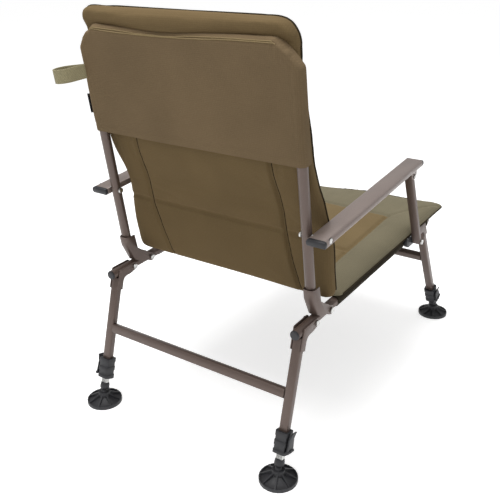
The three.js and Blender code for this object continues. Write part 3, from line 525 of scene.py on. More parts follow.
class StageSettings(bpy.types.PropertyGroup):
    lens: number("Lens", "Focal length", 51.66, unit="CAMERA")
    floor: colour("Floor", "Pale studio floor", "#f7f7f7")
    sky: number("Sky light", "Strength of the even light from all round", 0.5)
    top: number("Top light", "Power of the large soft lamp overhead", 62.0, subtype="POWER")
    rear: number("Rear light", "Power of the soft lamp behind the chair", 14.0, subtype="POWER")
    side: number("Side light", "Power of the soft lamp on the left", 4.0, subtype="POWER")
    lift: number("Background", "What the floor adds where the camera or a reflection sees it", 0.53)


def settings(group):
    return getattr(bpy.context.scene, "chair_" + group)


# Pads: tables in millimetres, by forward distance or by height
SEAT_THICKNESS = [[200, 11.5], [226, 12.5], [256, 14], [311, 16.5], [424, 20.5], [500, 24], [560, 27],
                  [630, 27.5], [690, 25], [735, 20.5], [768, 14]]
SEAT_CROWN = [[256, 0], [380, 4], [560, 4], [690, 0], [768, -7]]
SEAT_CHANNELS = [0.375]
# The middle of the back pad from its foot up: forward, height, thickness
BACK_LINE = np.array([
    [180.9, 320, 25], [177.2, 342, 32], [167.2, 394, 38], [160.2, 452, 36], [145.2, 505, 34],
    [132.2, 538, 34], [108.2, 580, 33], [94.7, 615, 32], [83.8, 668, 30], [71.8, 735, 27],
    [62.6, 790, 25], [56.2, 835, 24], [50.2, 869, 20],
]) * MM
# By height: its half widths, how far its front and the top of its rear swell, and its upright seams
BACK_RIGHT = [[440, 251], [490, 243.5], [530, 243.5], [580, 247], [671, 245], [741, 239], [811, 234],
              [869, 232]]
BACK_LEFT = [[440, 251], [490, 243.5], [530, 243.5], [580, 247], [869, 247]]
BACK_CROWN = [[318, 0], [420, 10], [800, 10], [869, 3]]
BACK_BULGE = [[833, 0], [843, 16], [869, 13]]
BACK_SEAMS = [[320, 150, 180], [391, 165, 167], [450, 181, 157], [542, 175, 156], [610, 164, 158],
              [660, 160, 160]]


def table_at(table, value, near=0.012):
    """A value from a table in millimetres, in metres, with the table's bends rounded off."""
    values = (np.array([-1, -0.5, 0, 0.5, 1]) * near + value) / MM
    return float(np.interp(values, [row[0] for row in table], [row[1] for row in table]).mean()) * MM


def pad_rows(length, edge, step):
    shares = np.array([0, 0.04, 0.14, 0.32, 0.6, 1.0])
    middle = np.linspace(edge, length - edge, max(int((length - 2 * edge) / step), 2))
    return np.concatenate([shares * edge, middle[1:-1], length - shares[::-1] * edge])


def pad_shell(name, half_at, length, corners, place, edge, step=0.007):
    """A closed pad from its outline, its corners and its thickness: two faces that meet at the rim."""
    middle = half_at(length / 2, 1)
    columns = pad_rows(2, edge / middle, step / middle) - 1
    rows = pad_rows(length, edge, step)
    face, rear = [], []
    for row in rows:
        for column in columns:
            half = half_at(row, column)
            side, along = abs(column) * half, row
            first = row < length / 2
            corner = corners[0] if first else corners[1 if column < 0 else 2]
            from_end = row if first else length - row
            inside = min(half - side, from_end)
            if half - side < corner and from_end < corner:
                p, q = (side - half + corner) / corner, (corner - from_end) / corner
                u, v = p * math.sqrt(1 - q * q / 2), q * math.sqrt(1 - p * p / 2)
                side = half - corner + u * corner
                along = corner - v * corner if first else length - corner + v * corner
                inside = corner * (1 - math.hypot(u, v))
            centre, normal, front, back, turn = place(math.copysign(side, column), along)
            share = 1 - min(max(inside, 0) / turn, 1)
            rise = math.sqrt(max(1 - share * share, 0))
            face.append(centre + normal * front * rise)
            rear.append(centre - normal * back * rise)
    across, count = len(columns), len(face)
    faces = []
    for r in range(len(rows) - 1):
        for c in range(across - 1):
            a = r * across + c
            faces.append((a, a + 1, a + 1 + across, a + across))
            faces.append((count + a, count + a + across, count + a + 1 + across, count + a + 1))
    piece = from_mesh(name, face + rear, faces)
    edit(piece, (bpy.ops.mesh.remove_doubles, {"threshold": 0.00002}), OUTWARD)
    return piece


def remeshed(piece, voxel):
    only(piece)
    piece.data.remesh_voxel_size = voxel
    piece.data.remesh_voxel_adaptivity = 0
    bpy.ops.object.voxel_remesh()


FILLING_FRAMES = 20


def filled(piece, pressure, cap, held):
    """Blows a pad up from inside with a cloth simulation, sewn down where held(points) is 1."""
    start = points_of(piece)
    group = piece.vertex_groups.new(name="Sewn")
    for index, weight in enumerate(held(start)):
        if weight > 0.01:
            group.add([index], float(weight), "REPLACE")
    modifier = piece.modifiers.new("Filling", "CLOTH")
    modifier.settings.vertex_group_mass = "Sewn"
    modifier.settings.pin_stiffness = 1
    modifier.settings.use_pressure = True
    modifier.settings.uniform_pressure_force = pressure
    modifier.settings.effector_weights.gravity = 0
    modifier.settings.quality = 4
    modifier.point_cache.frame_start, modifier.point_cache.frame_end = 1, FILLING_FRAMES
    for step in range(1, FILLING_FRAMES + 1):
        bpy.context.scene.frame_set(step)
    only(piece)
    bpy.ops.object.modifier_apply(modifier=modifier.name)
    piece.vertex_groups.clear()
    moves = points_of(piece) - start
    lengths = np.linalg.norm(moves, axis=1)
    moves *= (np.minimum(lengths, cap) / np.maximum(lengths, 1e-9))[:, None]
    set_points(piece, start + moves)
    bpy.context.scene.frame_set(1)


def seam_dip(distance, width):
    """A rounded groove: 1 on the seam, 0 at its width."""
    return np.clip(1 - (np.abs(distance) / width) ** 2, 0, 1) ** 1.5


def segment_distance(x, y, a, b):
    ax, ay, bx, by = *a, *b
    share = np.clip(((x - ax) * (bx - ax) + (y - ay) * (by - ay)) / ((bx - ax) ** 2 + (by - ay) ** 2), 0, 1)
    return np.hypot(x - ax - share * (bx - ax), y - ay - share * (by - ay))


def ripple(points, spacing, seed):
    """Smooth noise at each point, from about -1 to 1."""
    start = Vector((seed, seed * 0.7, seed * 1.3))
    return np.array([noise.noise(Vector(p) / spacing + start) for p in points])


def seat_forward(points):
    return REAR_FOOT_Y - points[:, 1]


def rail_height(points):
    """Height of each point over the rail's axis."""
    rise = points[:, 2] - RAIL_START[1]
    back = points[:, 1] - REAR_FOOT_Y + RAIL_START[0]
    return rise * math.cos(RAIL_RISE) + back * math.sin(RAIL_RISE)


def back_along(points):
    """How far up the back tubes each point is, and how far behind their axis."""
    back = points[:, 1] - REAR_FOOT_Y + ARM_BOLT[0]
    rise = points[:, 2] - ARM_BOLT[1]
    sine, cosine = math.sin(RECLINE), math.cos(RECLINE)
    return back * sine + rise * cosine, back * cosine - rise * sine


def seat_seams(points):
    """Distance of each point to the nearest seam on top of the seat, and to the mitre seams."""
    s = settings("seat")
    x, forward = np.abs(points[:, 0]), seat_forward(points)
    inner, front = s.half_width - s.side_border, s.end - s.front_border
    distance = np.where(forward < front, np.abs(x - inner), np.hypot(x - inner, forward - front))
    distance = np.minimum(distance, np.where(x < inner, np.abs(forward - front), 1.0))
    for channel in SEAT_CHANNELS:
        distance = np.minimum(distance, np.where(x < inner, np.abs(forward - channel), 1.0))
    return distance, segment_distance(x, forward, (inner, front), (s.half_width - 0.004, s.end - 0.03))


def seat_droop(x, forward):
    """How far the front of the seat hangs down on its left, where the foam is worn."""
    s = settings("seat")
    side = min(max((x + 0.05) / 0.17, 0), 1)
    front = min(max((forward - 0.66) / (s.end - 0.66), 0), 1)
    return s.droop * side * side * (3 - 2 * side) * front ** 2


def seam_sides(heights):
    """How far from the middle the upright seams run, on the left and on the right, at these heights."""
    rows = np.array(BACK_SEAMS) * MM
    return [np.interp(heights, rows[:, 0], rows[:, item]) for item in (1, 2)]


def press(piece):
    """Gives a soft piece of the back its own mesh. It is not pressed flat as the back folds down on the seat."""
    s = settings("back")
    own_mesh(piece)


def back_line_at(along):
    steps = np.concatenate([[0], np.cumsum(np.hypot(np.diff(BACK_LINE[:, 0]), np.diff(BACK_LINE[:, 1])))])
    length = steps[-1]

    def at(item, where):
        near = length / 60
        return sum(np.interp(where + d, steps, BACK_LINE[:, item]) for d in (-near, 0, near)) / 3

    low, high = max(along - length / 40, 0), min(along + length / 40, length)
    tangent = Vector((at(0, high) - at(0, low), at(1, high) - at(1, low))).normalized()
    return at(0, along), at(1, along), at(2, along), tangent, length


class CHAIR_OT_seat_pad(bpy.types.Operator):
    """Makes the seat pad: an olive border with mitred corners round a tan middle with sewn channels"""

    bl_idname = "chair.seat_pad"
    bl_label = "Seat pad"

    def execute(self, context):
        s = settings("seat")
        length = s.end - s.start
        slack = s.slack
        up = Vector((0, math.sin(RAIL_RISE), math.cos(RAIL_RISE)))

        def place(x, along):
            forward = s.start + along
            thick = table_at(SEAT_THICKNESS, forward)
            crown = table_at(SEAT_CROWN, forward) * (1 - (x / s.half_width) ** 2)
            centre = rail_point(x, forward, s.base + s.rim - seat_droop(x, forward))
            return centre, up, thick - s.rim + crown - slack, s.rim - slack / 3, max(thick * 0.5, 0.007)

        corners = (0.014, s.corner, s.corner)
        pad = pad_shell("seat_pad", lambda along, side: s.half_width, length, corners, place, 0.0135)
        remeshed(pad, s.voxel)
        def held(points):
            seams, mitre = seat_seams(points)
            height = rail_height(points)
            sewn = (height > s.base + 0.006) & (np.minimum(seams, mitre) < s.voxel * 0.8)
            return np.where(sewn | (height < s.base + s.rim + 0.001), 1.0, 0.0)

        filled(pad, 4, s.swell, held)
        subdivided(pad)

        def dips(points, normals):
            seams, mitre = seat_seams(points)
            top = np.clip(normals[:, 2] * 2 - 0.4, 0, 1)
            near = np.minimum(seams, mitre)
            puckers = ripple(points * [1, 1, 0], 0.012, 3) * np.exp(-near / 0.012)
            forward = seat_forward(points)
            apron = np.clip((forward - s.end + s.front_border) / 0.05, 0, 1)
            folds = ripple(points * [1, 0.22, 0], 0.021, 7) * apron
            aside = np.clip((np.abs(points[:, 0]) - 0.185) / 0.03, 0, 1)
            border = ripple(points * [0.3, 1, 0], 0.03, 19) * aside
            grooves = s.depth * seam_dip(seams, s.groove) + s.depth * 0.6 * seam_dip(mitre, s.groove * 0.8)
            slow = ripple(points, 0.09, 11)
            return (grooves + 0.0009 * puckers + 0.0013 * folds + 0.0007 * border + 0.0008 * slow) * top

        carve(pad, dips)
        smooth(pad, 180)
        material = cloth("Brushed polyester, olive and tan", s.border, 1.7, False, centre=s.centre,
                         panel=(s.half_width - s.side_border, REAR_FOOT_Y - s.end + s.front_border))
        finish_piece(pad, "seat", material, ["seat_cushion"])

        half, low, high = s.half_width, s.start + 0.016, s.end
        edge = [(half, forward) for forward in np.linspace(low, high - s.corner, 90)]
        edge += [(half - s.corner + s.corner * math.cos(a), high - s.corner + s.corner * math.sin(a))
                 for a in np.linspace(0, math.pi / 2, 9)[1:]]
        edge += [(x, high) for x in np.linspace(half - s.corner, 0, 50)[1:]]
        edge += [(-x, forward) for x, forward in edge[-2::-1]]
        line = [rail_point(x, forward, s.base + s.rim - seat_droop(x, forward)) for x, forward in edge]
        binding = cloth("Binding tape, dark", settings("sling").binding, 1.2, False, 0.1)
        routes = [snapped(tree_of(pad), line, s.piping * 0.2)]
        trim("seat_piping", "seat", routes, s.piping, binding)
        return {"FINISHED"}


class CHAIR_OT_back_pad(bpy.types.Operator):
    """Makes the back pad: long, bent at the loins, sewn through in panels, with piping round its front"""

    bl_idname = "chair.back_pad"
    bl_label = "Back pad"

    def execute(self, context):
        s = settings("back")
        length = back_line_at(0)[4]
        slack = s.slack

        def half_at(along, side):
            return table_at(BACK_RIGHT if side < 0 else BACK_LEFT, back_line_at(along)[1], 0.02)

        def place(x, along):
            forward, height, thick, tangent, _ = back_line_at(along)
            crown = table_at(BACK_CROWN, height) * (1 - (x / s.half_width) ** 2)
            middle = math.exp(-(((x - 0.04) / 0.11) ** 2))
            aside = min(max((abs(x) - 0.18) / 0.06, 0), 1)
            bulge = table_at(BACK_BULGE, height + 0.006 * middle, 0.004)
            bulge = bulge * (1 + 0.6 * middle) * (1 - 0.5 * aside)
            centre = Vector((x, REAR_FOOT_Y - forward, height))
            normal = Vector((0, -tangent.y, -tangent.x))
            return centre, normal, thick / 2 + crown - slack, thick / 2 - slack / 2 + bulge, thick * 0.4

        corners = (s.low_corner, s.top_corner, s.left_corner)
        pad = pad_shell("back_pad", half_at, length, corners, place, 0.018)
        remeshed(pad, s.voxel)

        def to_upright(points, behind):
            """Distance to the nearest upright seam: behind they wander, in front they are straight."""
            x = points[:, 0]
            left, right = seam_sides(points[:, 2])
            aside = np.where(x < 0, np.abs(x + right), np.abs(x - left))
            return np.where(behind, aside, np.abs(np.abs(x) - s.seam))

        def held(points):
            upright = to_upright(points, points[:, 1] > REAR_FOOT_Y - 0.16)
            seams = np.minimum(upright, np.abs(points[:, 2] - s.cross))
            return np.where(seams < s.voxel * 0.8, 1.0, 0.0)

        filled(pad, 4, s.swell, held)
        subdivided(pad)

        def dips(points, normals):
            behind = normals[:, 1] > 0
            upright = to_upright(points, behind)
            level = np.abs(points[:, 2] - s.cross)
            facing = np.clip(np.abs(normals[:, 1]) * 2 - 0.6, 0, 1)
            low = np.clip((0.66 - points[:, 2]) / 0.05, 0, 1)
            sewn = np.where(behind, low, 1.0)
            share = np.where(points[:, 0] < 0, 1.25, 0.75)
            groove = np.maximum(seam_dip(upright, s.groove) * share, seam_dip(level, s.groove) * 0.5) * sewn
            near = np.exp(-np.minimum(upright, level) / 0.012)
            puckers = ripple(points * [1, 0, 1], 0.013, 5) * near * sewn
            tucks = ripple(points * [1, 0, 0.15], 0.012, 31) * np.clip((points[:, 2] - 0.835) / 0.025, 0, 1)
            slow = ripple(points, 0.1, 17)
            return (s.depth * groove + 0.0008 * puckers + 0.0008 * tucks + 0.0012 * slow) * facing

        carve(pad, dips)
        smooth(pad, 180)
        material = cloth("Brushed polyester, brown olive", s.cloth, 1.7, True)
        finish_piece(pad, "back", material, ["back_cushion", "back_panel"])
        press(pad)

        tree = tree_of(pad)
        sides = []
        for side, corner in ((1, s.left_corner), (-1, s.top_corner)):
            last = length - corner
            route = [(half_at(along, side), along) for along in np.linspace(0.02, last, 70)]
            half = route[-1][0]
            route += [(half - corner + corner * math.cos(angle), last + corner * math.sin(angle))
                      for angle in np.linspace(0, math.pi / 2, 14)[1:]]
            route += [(x, length) for x in np.linspace(half - corner, 0, 30)[1:]]
            sides.append([(x * side, along) for x, along in route])
        points = []
        for x, along in sides[0] + sides[1][-2::-1]:
            forward, height, thick, tangent, _ = back_line_at(along)
            out = tangent * thick * 0.28
            points.append(Vector((x * 1.01, REAR_FOOT_Y - forward - out.y, height - out.x)))
        binding = cloth("Binding tape, dark upright", settings("sling").binding, 1.2, True, 0.1)
        routes = [snapped(tree, points, s.piping * 0.3)]
        press(trim("back_pad_piping", "back", routes, s.piping, binding))

        # Dark cords along the upright seams behind, from the hood's hem down: the stitching, and painted shade
        # where the seams fold in.
        hits = []
        for item, side in ((0, 1), (1, -1)):
            line = [Vector((side * seam_sides(z)[item], 0.5, z)) for z in np.linspace(0.328, 0.64, 110)]
            found = [tree.ray_cast(point, Vector((0, -1, 0))) for point in line]
            hits.append([at + normal * 0.0001 for at, normal, _, _ in found if at is not None])
        press(trim("back_seam_thread", "back", hits, 0.0008, binding, steps=2))
        return {"FINISHED"}


class CHAIR_OT_hood(bpy.types.Operator):
    """Makes the hood: a sewn sleeve of cloth over the top of the back frame, with piping and a hem"""

    bl_idname = "chair.hood"
    bl_label = "Hood"

    def execute(self, context):
        s = settings("hood")
        length = s.top - s.bottom

        def sag_at(x):
            return s.sag * math.exp(-(((x - 0.05) / 0.13) ** 2))

        columns = pad_rows(2, s.edge / s.half_width, 0.005 / s.half_width) - 1
        turned = length - s.edge * np.array([0.75, 0.5, 0.28, 0.12, 0.03, 0.0])
        rows = np.unique(np.round(np.concatenate([np.linspace(0, length - s.edge, 40), turned]), 6))
        vertices = []
        for row in rows:
            for column in columns:
                side, along = abs(column) * s.half_width, row
                from_end = length - row
                inside = min(s.half_width - side, from_end)
                if s.half_width - side < s.corner and from_end < s.corner:
                    p, q = (side - s.half_width + s.corner) / s.corner, (s.corner - from_end) / s.corner
                    u = 0.8 * p * (1 - q / 2) + 0.2 * p * math.sqrt(1 - q * q / 2)
                    v = 0.8 * q * (1 - p / 2) + 0.2 * q * math.sqrt(1 - p * p / 2)
                    side = s.half_width - s.corner + u * s.corner
                    along = length - s.corner + v * s.corner
                share = 1 - min(max(inside, 0) / s.edge, 1)
                rear = s.rear - s.wall - s.edge * (1 - math.sqrt(max(1 - share * share, 0)))
                x = math.copysign(side, column)
                along -= sag_at(x) * max(along / length, 0) ** 2
                vertices.append(back_point(x, rear, s.bottom + along))
        across = len(columns)
        hood = from_mesh("hood_cover", vertices, grid_faces(len(rows), across))
        only(hood)
        bpy.ops.object.mode_set(mode="EDIT")
        bpy.ops.mesh.select_all(action="DESELECT")
        bpy.ops.object.mode_set(mode="OBJECT")
        rim = {r * across + c for r in range(len(rows)) for c in (0, across - 1)}
        rim |= {(len(rows) - 1) * across + c for c in range(across)}
        counts = {}
        for polygon in hood.data.polygons:
            for key in polygon.edge_keys:
                counts[key] = counts.get(key, 0) + 1
        for edge in hood.data.edges:
            edge.select = counts[tuple(edge.key)] == 1 and rim.issuperset(edge.vertices)
        bpy.ops.object.mode_set(mode="EDIT")
        bpy.ops.mesh.select_mode(type="EDGE")
        forward = back_point(0, -1, 0) - back_point(0, 0, 0)
        wall = s.rear - s.wall - s.edge + s.front
        for _ in range(3):
            bpy.ops.mesh.extrude_region_move(TRANSFORM_OT_translate={"value": forward * wall / 3})
        bpy.ops.mesh.select_all(action="SELECT")
        bpy.ops.mesh.normals_make_consistent(inside=False)
        bpy.ops.object.mode_set(mode="OBJECT")
        subdivided(hood)

        def dips(points, normals):
            along, behind = back_along(points)
            x = points[:, 0]
            rear = np.clip(behind / 0.008, 0, 1)
            soft = ripple(points, 0.12, 23) * 0.0016 + ripple(points * [0.5, 1, 1], 0.04, 29) * 0.0005
            hem = seam_dip(along - s.bottom - 0.014, 0.0035) * 0.0006
            gusset = seam_dip(s.half_width - 0.016 - np.abs(x), 0.0035) * 0.0008
            top = seam_dip(s.top - 0.009 - along, 0.003) * 0.0007
            to_corner = np.hypot(np.abs(x) - s.half_width + 0.03, along - s.top + 0.012)
            tucks = ripple(points * [1.4, 1, 0.5], 0.009, 37) * np.exp(-((to_corner / 0.03) ** 2))
            pull = ripple(points * [1, 1, 1], 0.02, 41) * np.exp(-(((s.top - along) / 0.02) ** 2))
            return (soft + hem + gusset + top + 0.0022 * tucks + 0.0006 * pull) * (0.35 + 0.65 * rear)

        carve(hood, dips)
        modify(hood, "SOLIDIFY", thickness=s.wall, offset=0.0)
        smooth(hood, 60)
        material = cloth("Brushed polyester, hood", s.cloth, 1.7, True)
        finish_piece(hood, "back", material, ["hood"])

        tree = tree_of(hood)
        routes = []
        for below in (0.0012, 0.0058):
            half = s.half_width - s.corner + below
            placed = [back_point(x, s.rear + 0.002 - below * 0.2, s.top - below - sag_at(x))
                      for x in np.linspace(-half, half, 110)]
            routes.append(snapped(tree, placed, s.piping * 0.4))
        binding = cloth("Binding tape, pale", s.piping_cloth, 1.2, True, 0.2)
        trim("hood_piping", "back", routes, s.piping, binding, steps=2)
        return {"FINISHED"}


# The bare label sewn in the hood's side seam: its corners across and behind the tube, and its ends along it
LABEL_CORNERS = ((0.2455, 0.0065), (0.2515, 0.0098), (0.2509, 0.0108), (0.2449, 0.0075))
LABEL_LEVELS = (0.1755, 0.2155)


class CHAIR_OT_side_loop(bpy.types.Operator):
    """Makes the webbing loop that hangs at the hood's side"""

    bl_idname = "chair.side_loop"
    bl_label = "Side loop"

    def execute(self, context):
        s = settings("webbing")
        # A drop: both bands start at the seam, spread, and meet again in a tight fold at the end.
        shares = np.array([0, 0.1, 0.2, 0.3, 0.4, 0.5, 0.6, 0.7, 0.8, 0.88, 0.94, 0.98, 1.0])
        bends = [0, 0.2, 0.4, 0.62, 0.82, 0.94, 1.0]
        spread = np.interp(shares, bends, [0.1, 0.38, 0.74, 1.0, 0.86, 0.48, 0.0])
        spread *= s.thick / 2 - s.band / 2
        route = [(s.length * share - s.band, -wide) for share, wide in zip(shares, spread)]
        route += [(s.length * share - s.band, wide) for share, wide in zip(shares[-2::-1], spread[-2::-1])]
        vertices, faces = [], []
        count = len(route)
        for out, rear in route:
            x = s.side + out * math.cos(s.turn) - rear * math.sin(s.turn)
            behind = s.rearward + out * math.sin(s.turn) + rear * math.cos(s.turn)
            vertices += [back_point(x, behind, s.along + share * s.tall) for share in (-0.5, -0.25, 0, 0.25, 0.5)]
        for k in range(count):
            for j in range(4):
                a, b = k * 5 + j, (k + 1) % count * 5 + j
                faces.append((a, b, b + 1, a + 1))
        loop = from_mesh("side_loop", vertices, faces)
        subdivided(loop)
        modify(loop, "SOLIDIFY", thickness=s.band, offset=0.0)
        modify(loop, "BEVEL", width=0.0004, segments=2, limit_method="ANGLE", angle_limit=math.radians(50))
        edit(loop, OUTWARD)
        smooth(loop, 50)
        material = webbing_tape("Polyester webbing, khaki", s.tape, 1.2)
        finish_piece(loop, "back", material, ["side_strap"])

        vertices = [back_point(x, rear, along) for along in LABEL_LEVELS for x, rear in LABEL_CORNERS]
        faces = [(0, 1, 2, 3), (7, 6, 5, 4)] + [(k, k + 4, (k + 1) % 4 + 4, (k + 1) % 4) for k in range(4)]
        label = from_mesh("hood_label", vertices, faces)
        edit(label, OUTWARD)
        modify(label, "BEVEL", width=0.0002, segments=2)
        material = cloth("Woven label, bare black", s.label, 0.8, True, 0.05)
        finish_piece(label, "back", material)
        return {"FINISHED"}


# The sling's section: the height of its middle over the rail's axis, and how far across its sleeve is sewn
SLING_MIDDLE = 0.0065
SLING_SEAM = 0.219


class CHAIR_OT_sling(bpy.types.Operator):
    """Makes the dark cloth under the seat, sewn round the rails"""

    bl_idname = "chair.sling"
    bl_label = "Seat sling"

    def execute(self, context):
        s = settings("sling")
        radius, middle = RAIL_RADIUS + s.thick / 2, SLING_MIDDLE + s.thick / 2
        turn = math.asin(0.8)

        def round_rail(angles):
            return [(RAIL_SIDE + radius * math.sin(a), radius * math.cos(a)) for a in angles]

        sleeve = round_rail(np.linspace(turn, math.radians(195), 12)[1:])
        right = [(x, middle + (radius - middle) * (x / SLING_SEAM) ** 1.2)
                 for x in np.linspace(0, SLING_SEAM, 24)[:-1]]
        right += [(SLING_SEAM, radius)] + round_rail(np.linspace(0, turn, 6)) + sleeve
        line = [(-x, up) for x, up in right[:0:-1]] + right
        rows = np.concatenate([
            np.linspace(s.start, s.gap_start, 40), np.linspace(s.gap_start, s.gap_end, 16)[1:],
            np.linspace(s.gap_end, s.end, 4)[1:],
        ])
        vertices = [rail_point(x, forward, up) for forward in rows for x, up in line]
        across, folded = len(line), len(sleeve)

        def kept(row, column):
            beside_gap = not s.gap_start <= (rows[row] + rows[row + 1]) / 2 <= s.gap_end
            return beside_gap or folded <= column < across - 1 - folded

        sling = from_mesh("seat_sling_cloth", vertices, grid_faces(len(rows), across, kept))
        edit(sling, (bpy.ops.mesh.delete_loose, {}), OUTWARD)
        modify(sling, "SOLIDIFY", thickness=s.thick, offset=0.0)
        smooth(sling, 50)
        material = cloth("Coated mesh, dark", s.cloth, 2.4, False, 0.05)
        finish_piece(sling, "seat", material, ["seat_sling"])
        # The sleeve goes round both rails and is cut away at the leg brackets. The sleeve is cut away at
        # the leg brackets, so area is less.
        return {"FINISHED"}


def pairs(*parts):
    return [f"{part}_{side}" for part in parts for side in SIDES]


STEEL_NODES = [
    "seat_frame_tube", "seat_rear_crossbar", "back_frame_tube", "rear_crossbar", "front_crossbar",
    *pairs("back_knuckle", "arm_post", "rear_leg", "front_leg"),
]
ARM_NODES = pairs("armrest")
NYLON_NODES = pairs(
    "rail_end_plug", "post_pivot_block", "armrest_rear_cap", "armrest_front_cap", "rear_collar", "front_collar",
    "rear_cam_lever", "front_cam_lever", "rear_foot", "front_foot",
)
BOLT_NODES = pairs(
    "rear_leg_bolt", "back_pivot_bolt", "front_leg_bolt", "post_bolt", "armrest_rear_bolt", "armrest_front_pin"
)
INNER_NODES = pairs("rear_inner_leg", "front_inner_leg")
# How far over the foot's ball the nylon boot of a sliding leg reaches
BOOT_TOP = 0.0245
# Small screws that only the surface shows: how far across, the place along the chair, and the head's radius
SCREWS = {"armrest": [(0.2485, 0.3235, 0.0021)],
          "post_pivot_block": [(0.2524, -0.146, 0.0016), (0.2524, -0.129, 0.0016)]}


def body_of(node):
    return frame["nodes"][node]["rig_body"]


def dressed(node, edge, angle=40):
    """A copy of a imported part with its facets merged, its edges rolled and its curves smooth."""
    mesh = frame["nodes"][node].data.copy()
    piece = bpy.data.objects.new(node + "_finished", mesh)
    bpy.context.scene.collection.objects.link(piece)
    only(piece)
    if mesh.has_custom_normals:
        bpy.ops.mesh.customdata_custom_splitnormals_clear()
    edit(piece, (bpy.ops.mesh.remove_doubles, {"threshold": 0.00001}),
         (bpy.ops.mesh.dissolve_limited, {"angle_limit": math.radians(1)}))
    modify(piece, "BEVEL", width=edge, segments=2, limit_method="ANGLE", angle_limit=math.radians(angle))
    smooth(piece, angle)
    return piece


class CHAIR_OT_steelwork(bpy.types.Operator):
    """Finishes the painted tubes, legs and armrests"""

    bl_idname = "chair.steelwork"
    bl_label = "Steelwork"

    def execute(self, context):
        s = settings("steel")
        tube = painted_steel("Powder-painted steel tube", s.tube)
        arm = painted_steel("Powder-painted armrest", s.arm)
        for node in STEEL_NODES:
            finish_piece(dressed(node, s.edge), body_of(node), tube, [node])
        for node in ARM_NODES:
            finish_piece(dressed(node, s.edge), body_of(node), arm, [node])
        return {"FINISHED"}


class CHAIR_OT_fittings(bpy.types.Operator):
    """Finishes the moulded feet, collars, levers and caps, the bolts and the sliding legs"""

    bl_idname = "chair.fittings"
    bl_label = "Fittings"

    def execute(self, context):
        s = settings("steel")
        nylon = moulded_nylon("Glass-filled nylon, black", s.nylon)
        plate = zinc("Zinc-plated steel", s.plate)
        for node in NYLON_NODES:
            finish_piece(dressed(node, s.moulded_edge), body_of(node), nylon, [node])
        for node in BOLT_NODES:
            finish_piece(dressed(node, s.dome), body_of(node), plate, [node])
        for node in INNER_NODES:
            piece = dressed(node, s.edge)
            matrix, reach = leg_frame(node.split("_")[0])
            inverse = matrix.inverted()
            finish_piece(piece, body_of(node), [plate, nylon], [node])
            for polygon in piece.data.polygons:
                if (inverse @ polygon.center).z + reach < BOOT_TOP:
                    polygon.material_index = 1
        for side, way in SIDES.items():
            for part, spots in SCREWS.items():
                tree = tree_of(frame["nodes"][f"{part}_{side}"])
                heads = []
                for x, y, radius in spots:
                    at = tree.ray_cast(Vector((way * x, y, 0.7)), Vector((0, 0, -1)))[0]
                    bpy.ops.mesh.primitive_uv_sphere_add(
                        segments=20, ring_count=10, radius=radius, location=at
                    )
                    context.object.scale.z = 0.55
                    settle(context.object)
                    heads.append(context.object)
                screws = join(f"{part}_screws_{side}", heads)
                smooth(screws, 60)
                finish_piece(screws, body_of(f"{part}_{side}"), plate)
        return {"FINISHED"}


# The camera was fitted to the photo. Each lamp: its setting, place, aim and width in metres.
CAMERA_PLACE, CAMERA_AIM = (-0.8265, 1.361, 0.9755), (0.521, -0.768, -0.3715)
CAMERA_ROLL = math.radians(-0.24)
CAMERA_SHIFT = (-0.0078, -0.0415)
LAMPS = (
    ("top", (0.2, 0.5, 3.2), (0, 0, 0.45), 2.0),
    ("rear", (-1.0, 3.6, 2.0), (0, 0, 0.5), 1.6),
    ("side", (3.2, 1.6, 1.6), (0, 0, 0.5), 1.6),
)
WHITE = (1, 1, 1, 1)


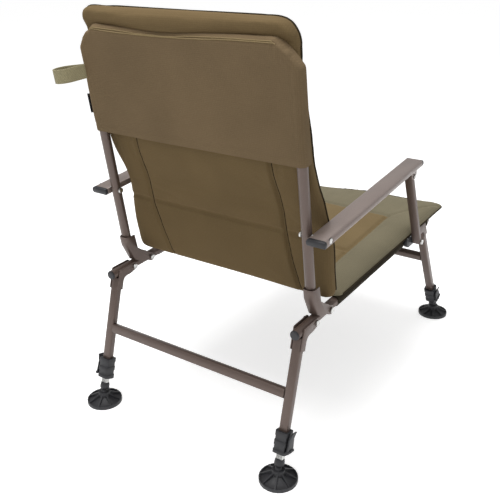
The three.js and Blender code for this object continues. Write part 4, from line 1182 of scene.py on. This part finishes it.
class CHAIR_OT_stage(bpy.types.Operator):
    """Sets the floor, the soft lamps and the camera"""

    bl_idname = "chair.stage"
    bl_label = "Stage"

    def execute(self, context):
        s = settings("stage")
        scene = context.scene
        bpy.ops.mesh.primitive_plane_add(size=80, location=(0, 0, 0))
        floor = context.object
        floor.name = "floor"
        material, tree, shader, place = started(
            "Studio floor, matt white", {"Roughness": 1.0, "Specular IOR Level": 0.0}
        )
        speckle = spread_of(tree, noise_of(tree, place, 400), 0.3, 0.7)
        # Seen straight or in a reflection, the floor is a little brighter than the lamps make it.
        seen_by = add(tree, "LightPath").outputs
        seen = maths(tree, "MAXIMUM", seen_by["Is Camera Ray"], seen_by["Is Glossy Ray"])
        glow = add(tree, "Emission", {"Color": WHITE, "Strength": maths(tree, "MULTIPLY", seen, s.lift)})
        both = add(tree, "AddShader", {0: shader.outputs[0], 1: glow.outputs[0]})
        feed(tree, shader, {"Base Color": mixed(tree, speckle, scaled(s.floor, 0.99), s.floor)})
        output = next(node for node in tree.nodes if node.type == "OUTPUT_MATERIAL")
        feed(tree, output, {"Surface": both.outputs[0]})
        floor.data.materials.append(material)

        world = bpy.data.worlds.new("Soft studio")
        scene.world = world
        world.use_nodes = True
        tree = world.node_tree
        tree.nodes.clear()
        seen_by = add(tree, "LightPath").outputs
        seen = maths(tree, "MAXIMUM", seen_by["Is Camera Ray"], seen_by["Is Transmission Ray"])
        strength = spread_of(tree, seen, 0.0, 1.0, s.sky, 1.0)
        sky = add(tree, "Background", {"Color": WHITE, "Strength": strength})
        add(tree, "OutputWorld", {"Surface": sky.outputs[0]})

        for name, place, aim, width in LAMPS:
            lamp = bpy.data.lights.new(name + "_lamp", "AREA")
            lamp.shape, lamp.size, lamp.energy = "DISK", width, getattr(s, name)
            stand = bpy.data.objects.new(name + "_lamp", lamp)
            scene.collection.objects.link(stand)
            stand.location = place
            stand.rotation_euler = (Vector(aim) - Vector(place)).to_track_quat("-Z", "Y").to_euler()

        lens = bpy.data.cameras.new("camera")
        lens.lens, lens.sensor_width = s.lens, 36
        lens.shift_x, lens.shift_y = CAMERA_SHIFT
        lens.clip_start, lens.clip_end = 0.05, 100
        camera = bpy.data.objects.new("camera", lens)
        scene.collection.objects.link(camera)
        camera.location = CAMERA_PLACE
        aim = Vector(CAMERA_AIM).to_track_quat("-Z", "Y").to_matrix()
        camera.rotation_euler = (aim @ Matrix.Rotation(CAMERA_ROLL, 3, "Z")).to_euler()
        scene.camera = camera
        scene.view_settings.view_transform = "Standard"
        return {"FINISHED"}


class CHAIR_PT_panel(bpy.types.Panel):
    bl_idname = "CHAIR_PT_panel"
    bl_label = "Folding fishing chair"
    bl_space_type = "VIEW_3D"
    bl_region_type = "UI"
    bl_category = "Chair"

    def draw(self, context):
        for operator in OPERATORS:
            self.layout.operator(operator.bl_idname)
        for name, group in GROUPS.items():
            box = self.layout.box()
            box.label(text=name.title())
            for value in group.__annotations__:
                box.prop(settings(name), value)


GROUPS = {
    "steel": SteelSettings, "seat": SeatSettings, "back": BackSettings, "hood": HoodSettings,
    "webbing": WebbingSettings, "sling": SlingSettings, "stage": StageSettings,
}
OPERATORS = (
    CHAIR_OT_stage, CHAIR_OT_steelwork, CHAIR_OT_fittings, CHAIR_OT_sling, CHAIR_OT_seat_pad,
    CHAIR_OT_back_pad, CHAIR_OT_hood, CHAIR_OT_side_loop,
)
CLASSES = (*GROUPS.values(), *OPERATORS, CHAIR_PT_panel)


def register():
    for one in CLASSES:
        bpy.utils.register_class(one)
    for name, group in GROUPS.items():
        setattr(bpy.types.Scene, "chair_" + name, PointerProperty(type=group))


def unregister():
    for name in GROUPS:
        delattr(bpy.types.Scene, "chair_" + name)
    for one in reversed(CLASSES):
        bpy.utils.unregister_class(one)


def main():
    register()
    for operator in OPERATORS:
        getattr(bpy.ops.chair, operator.bl_idname.split(".")[1])()


if __name__ == "__main__":
    main()
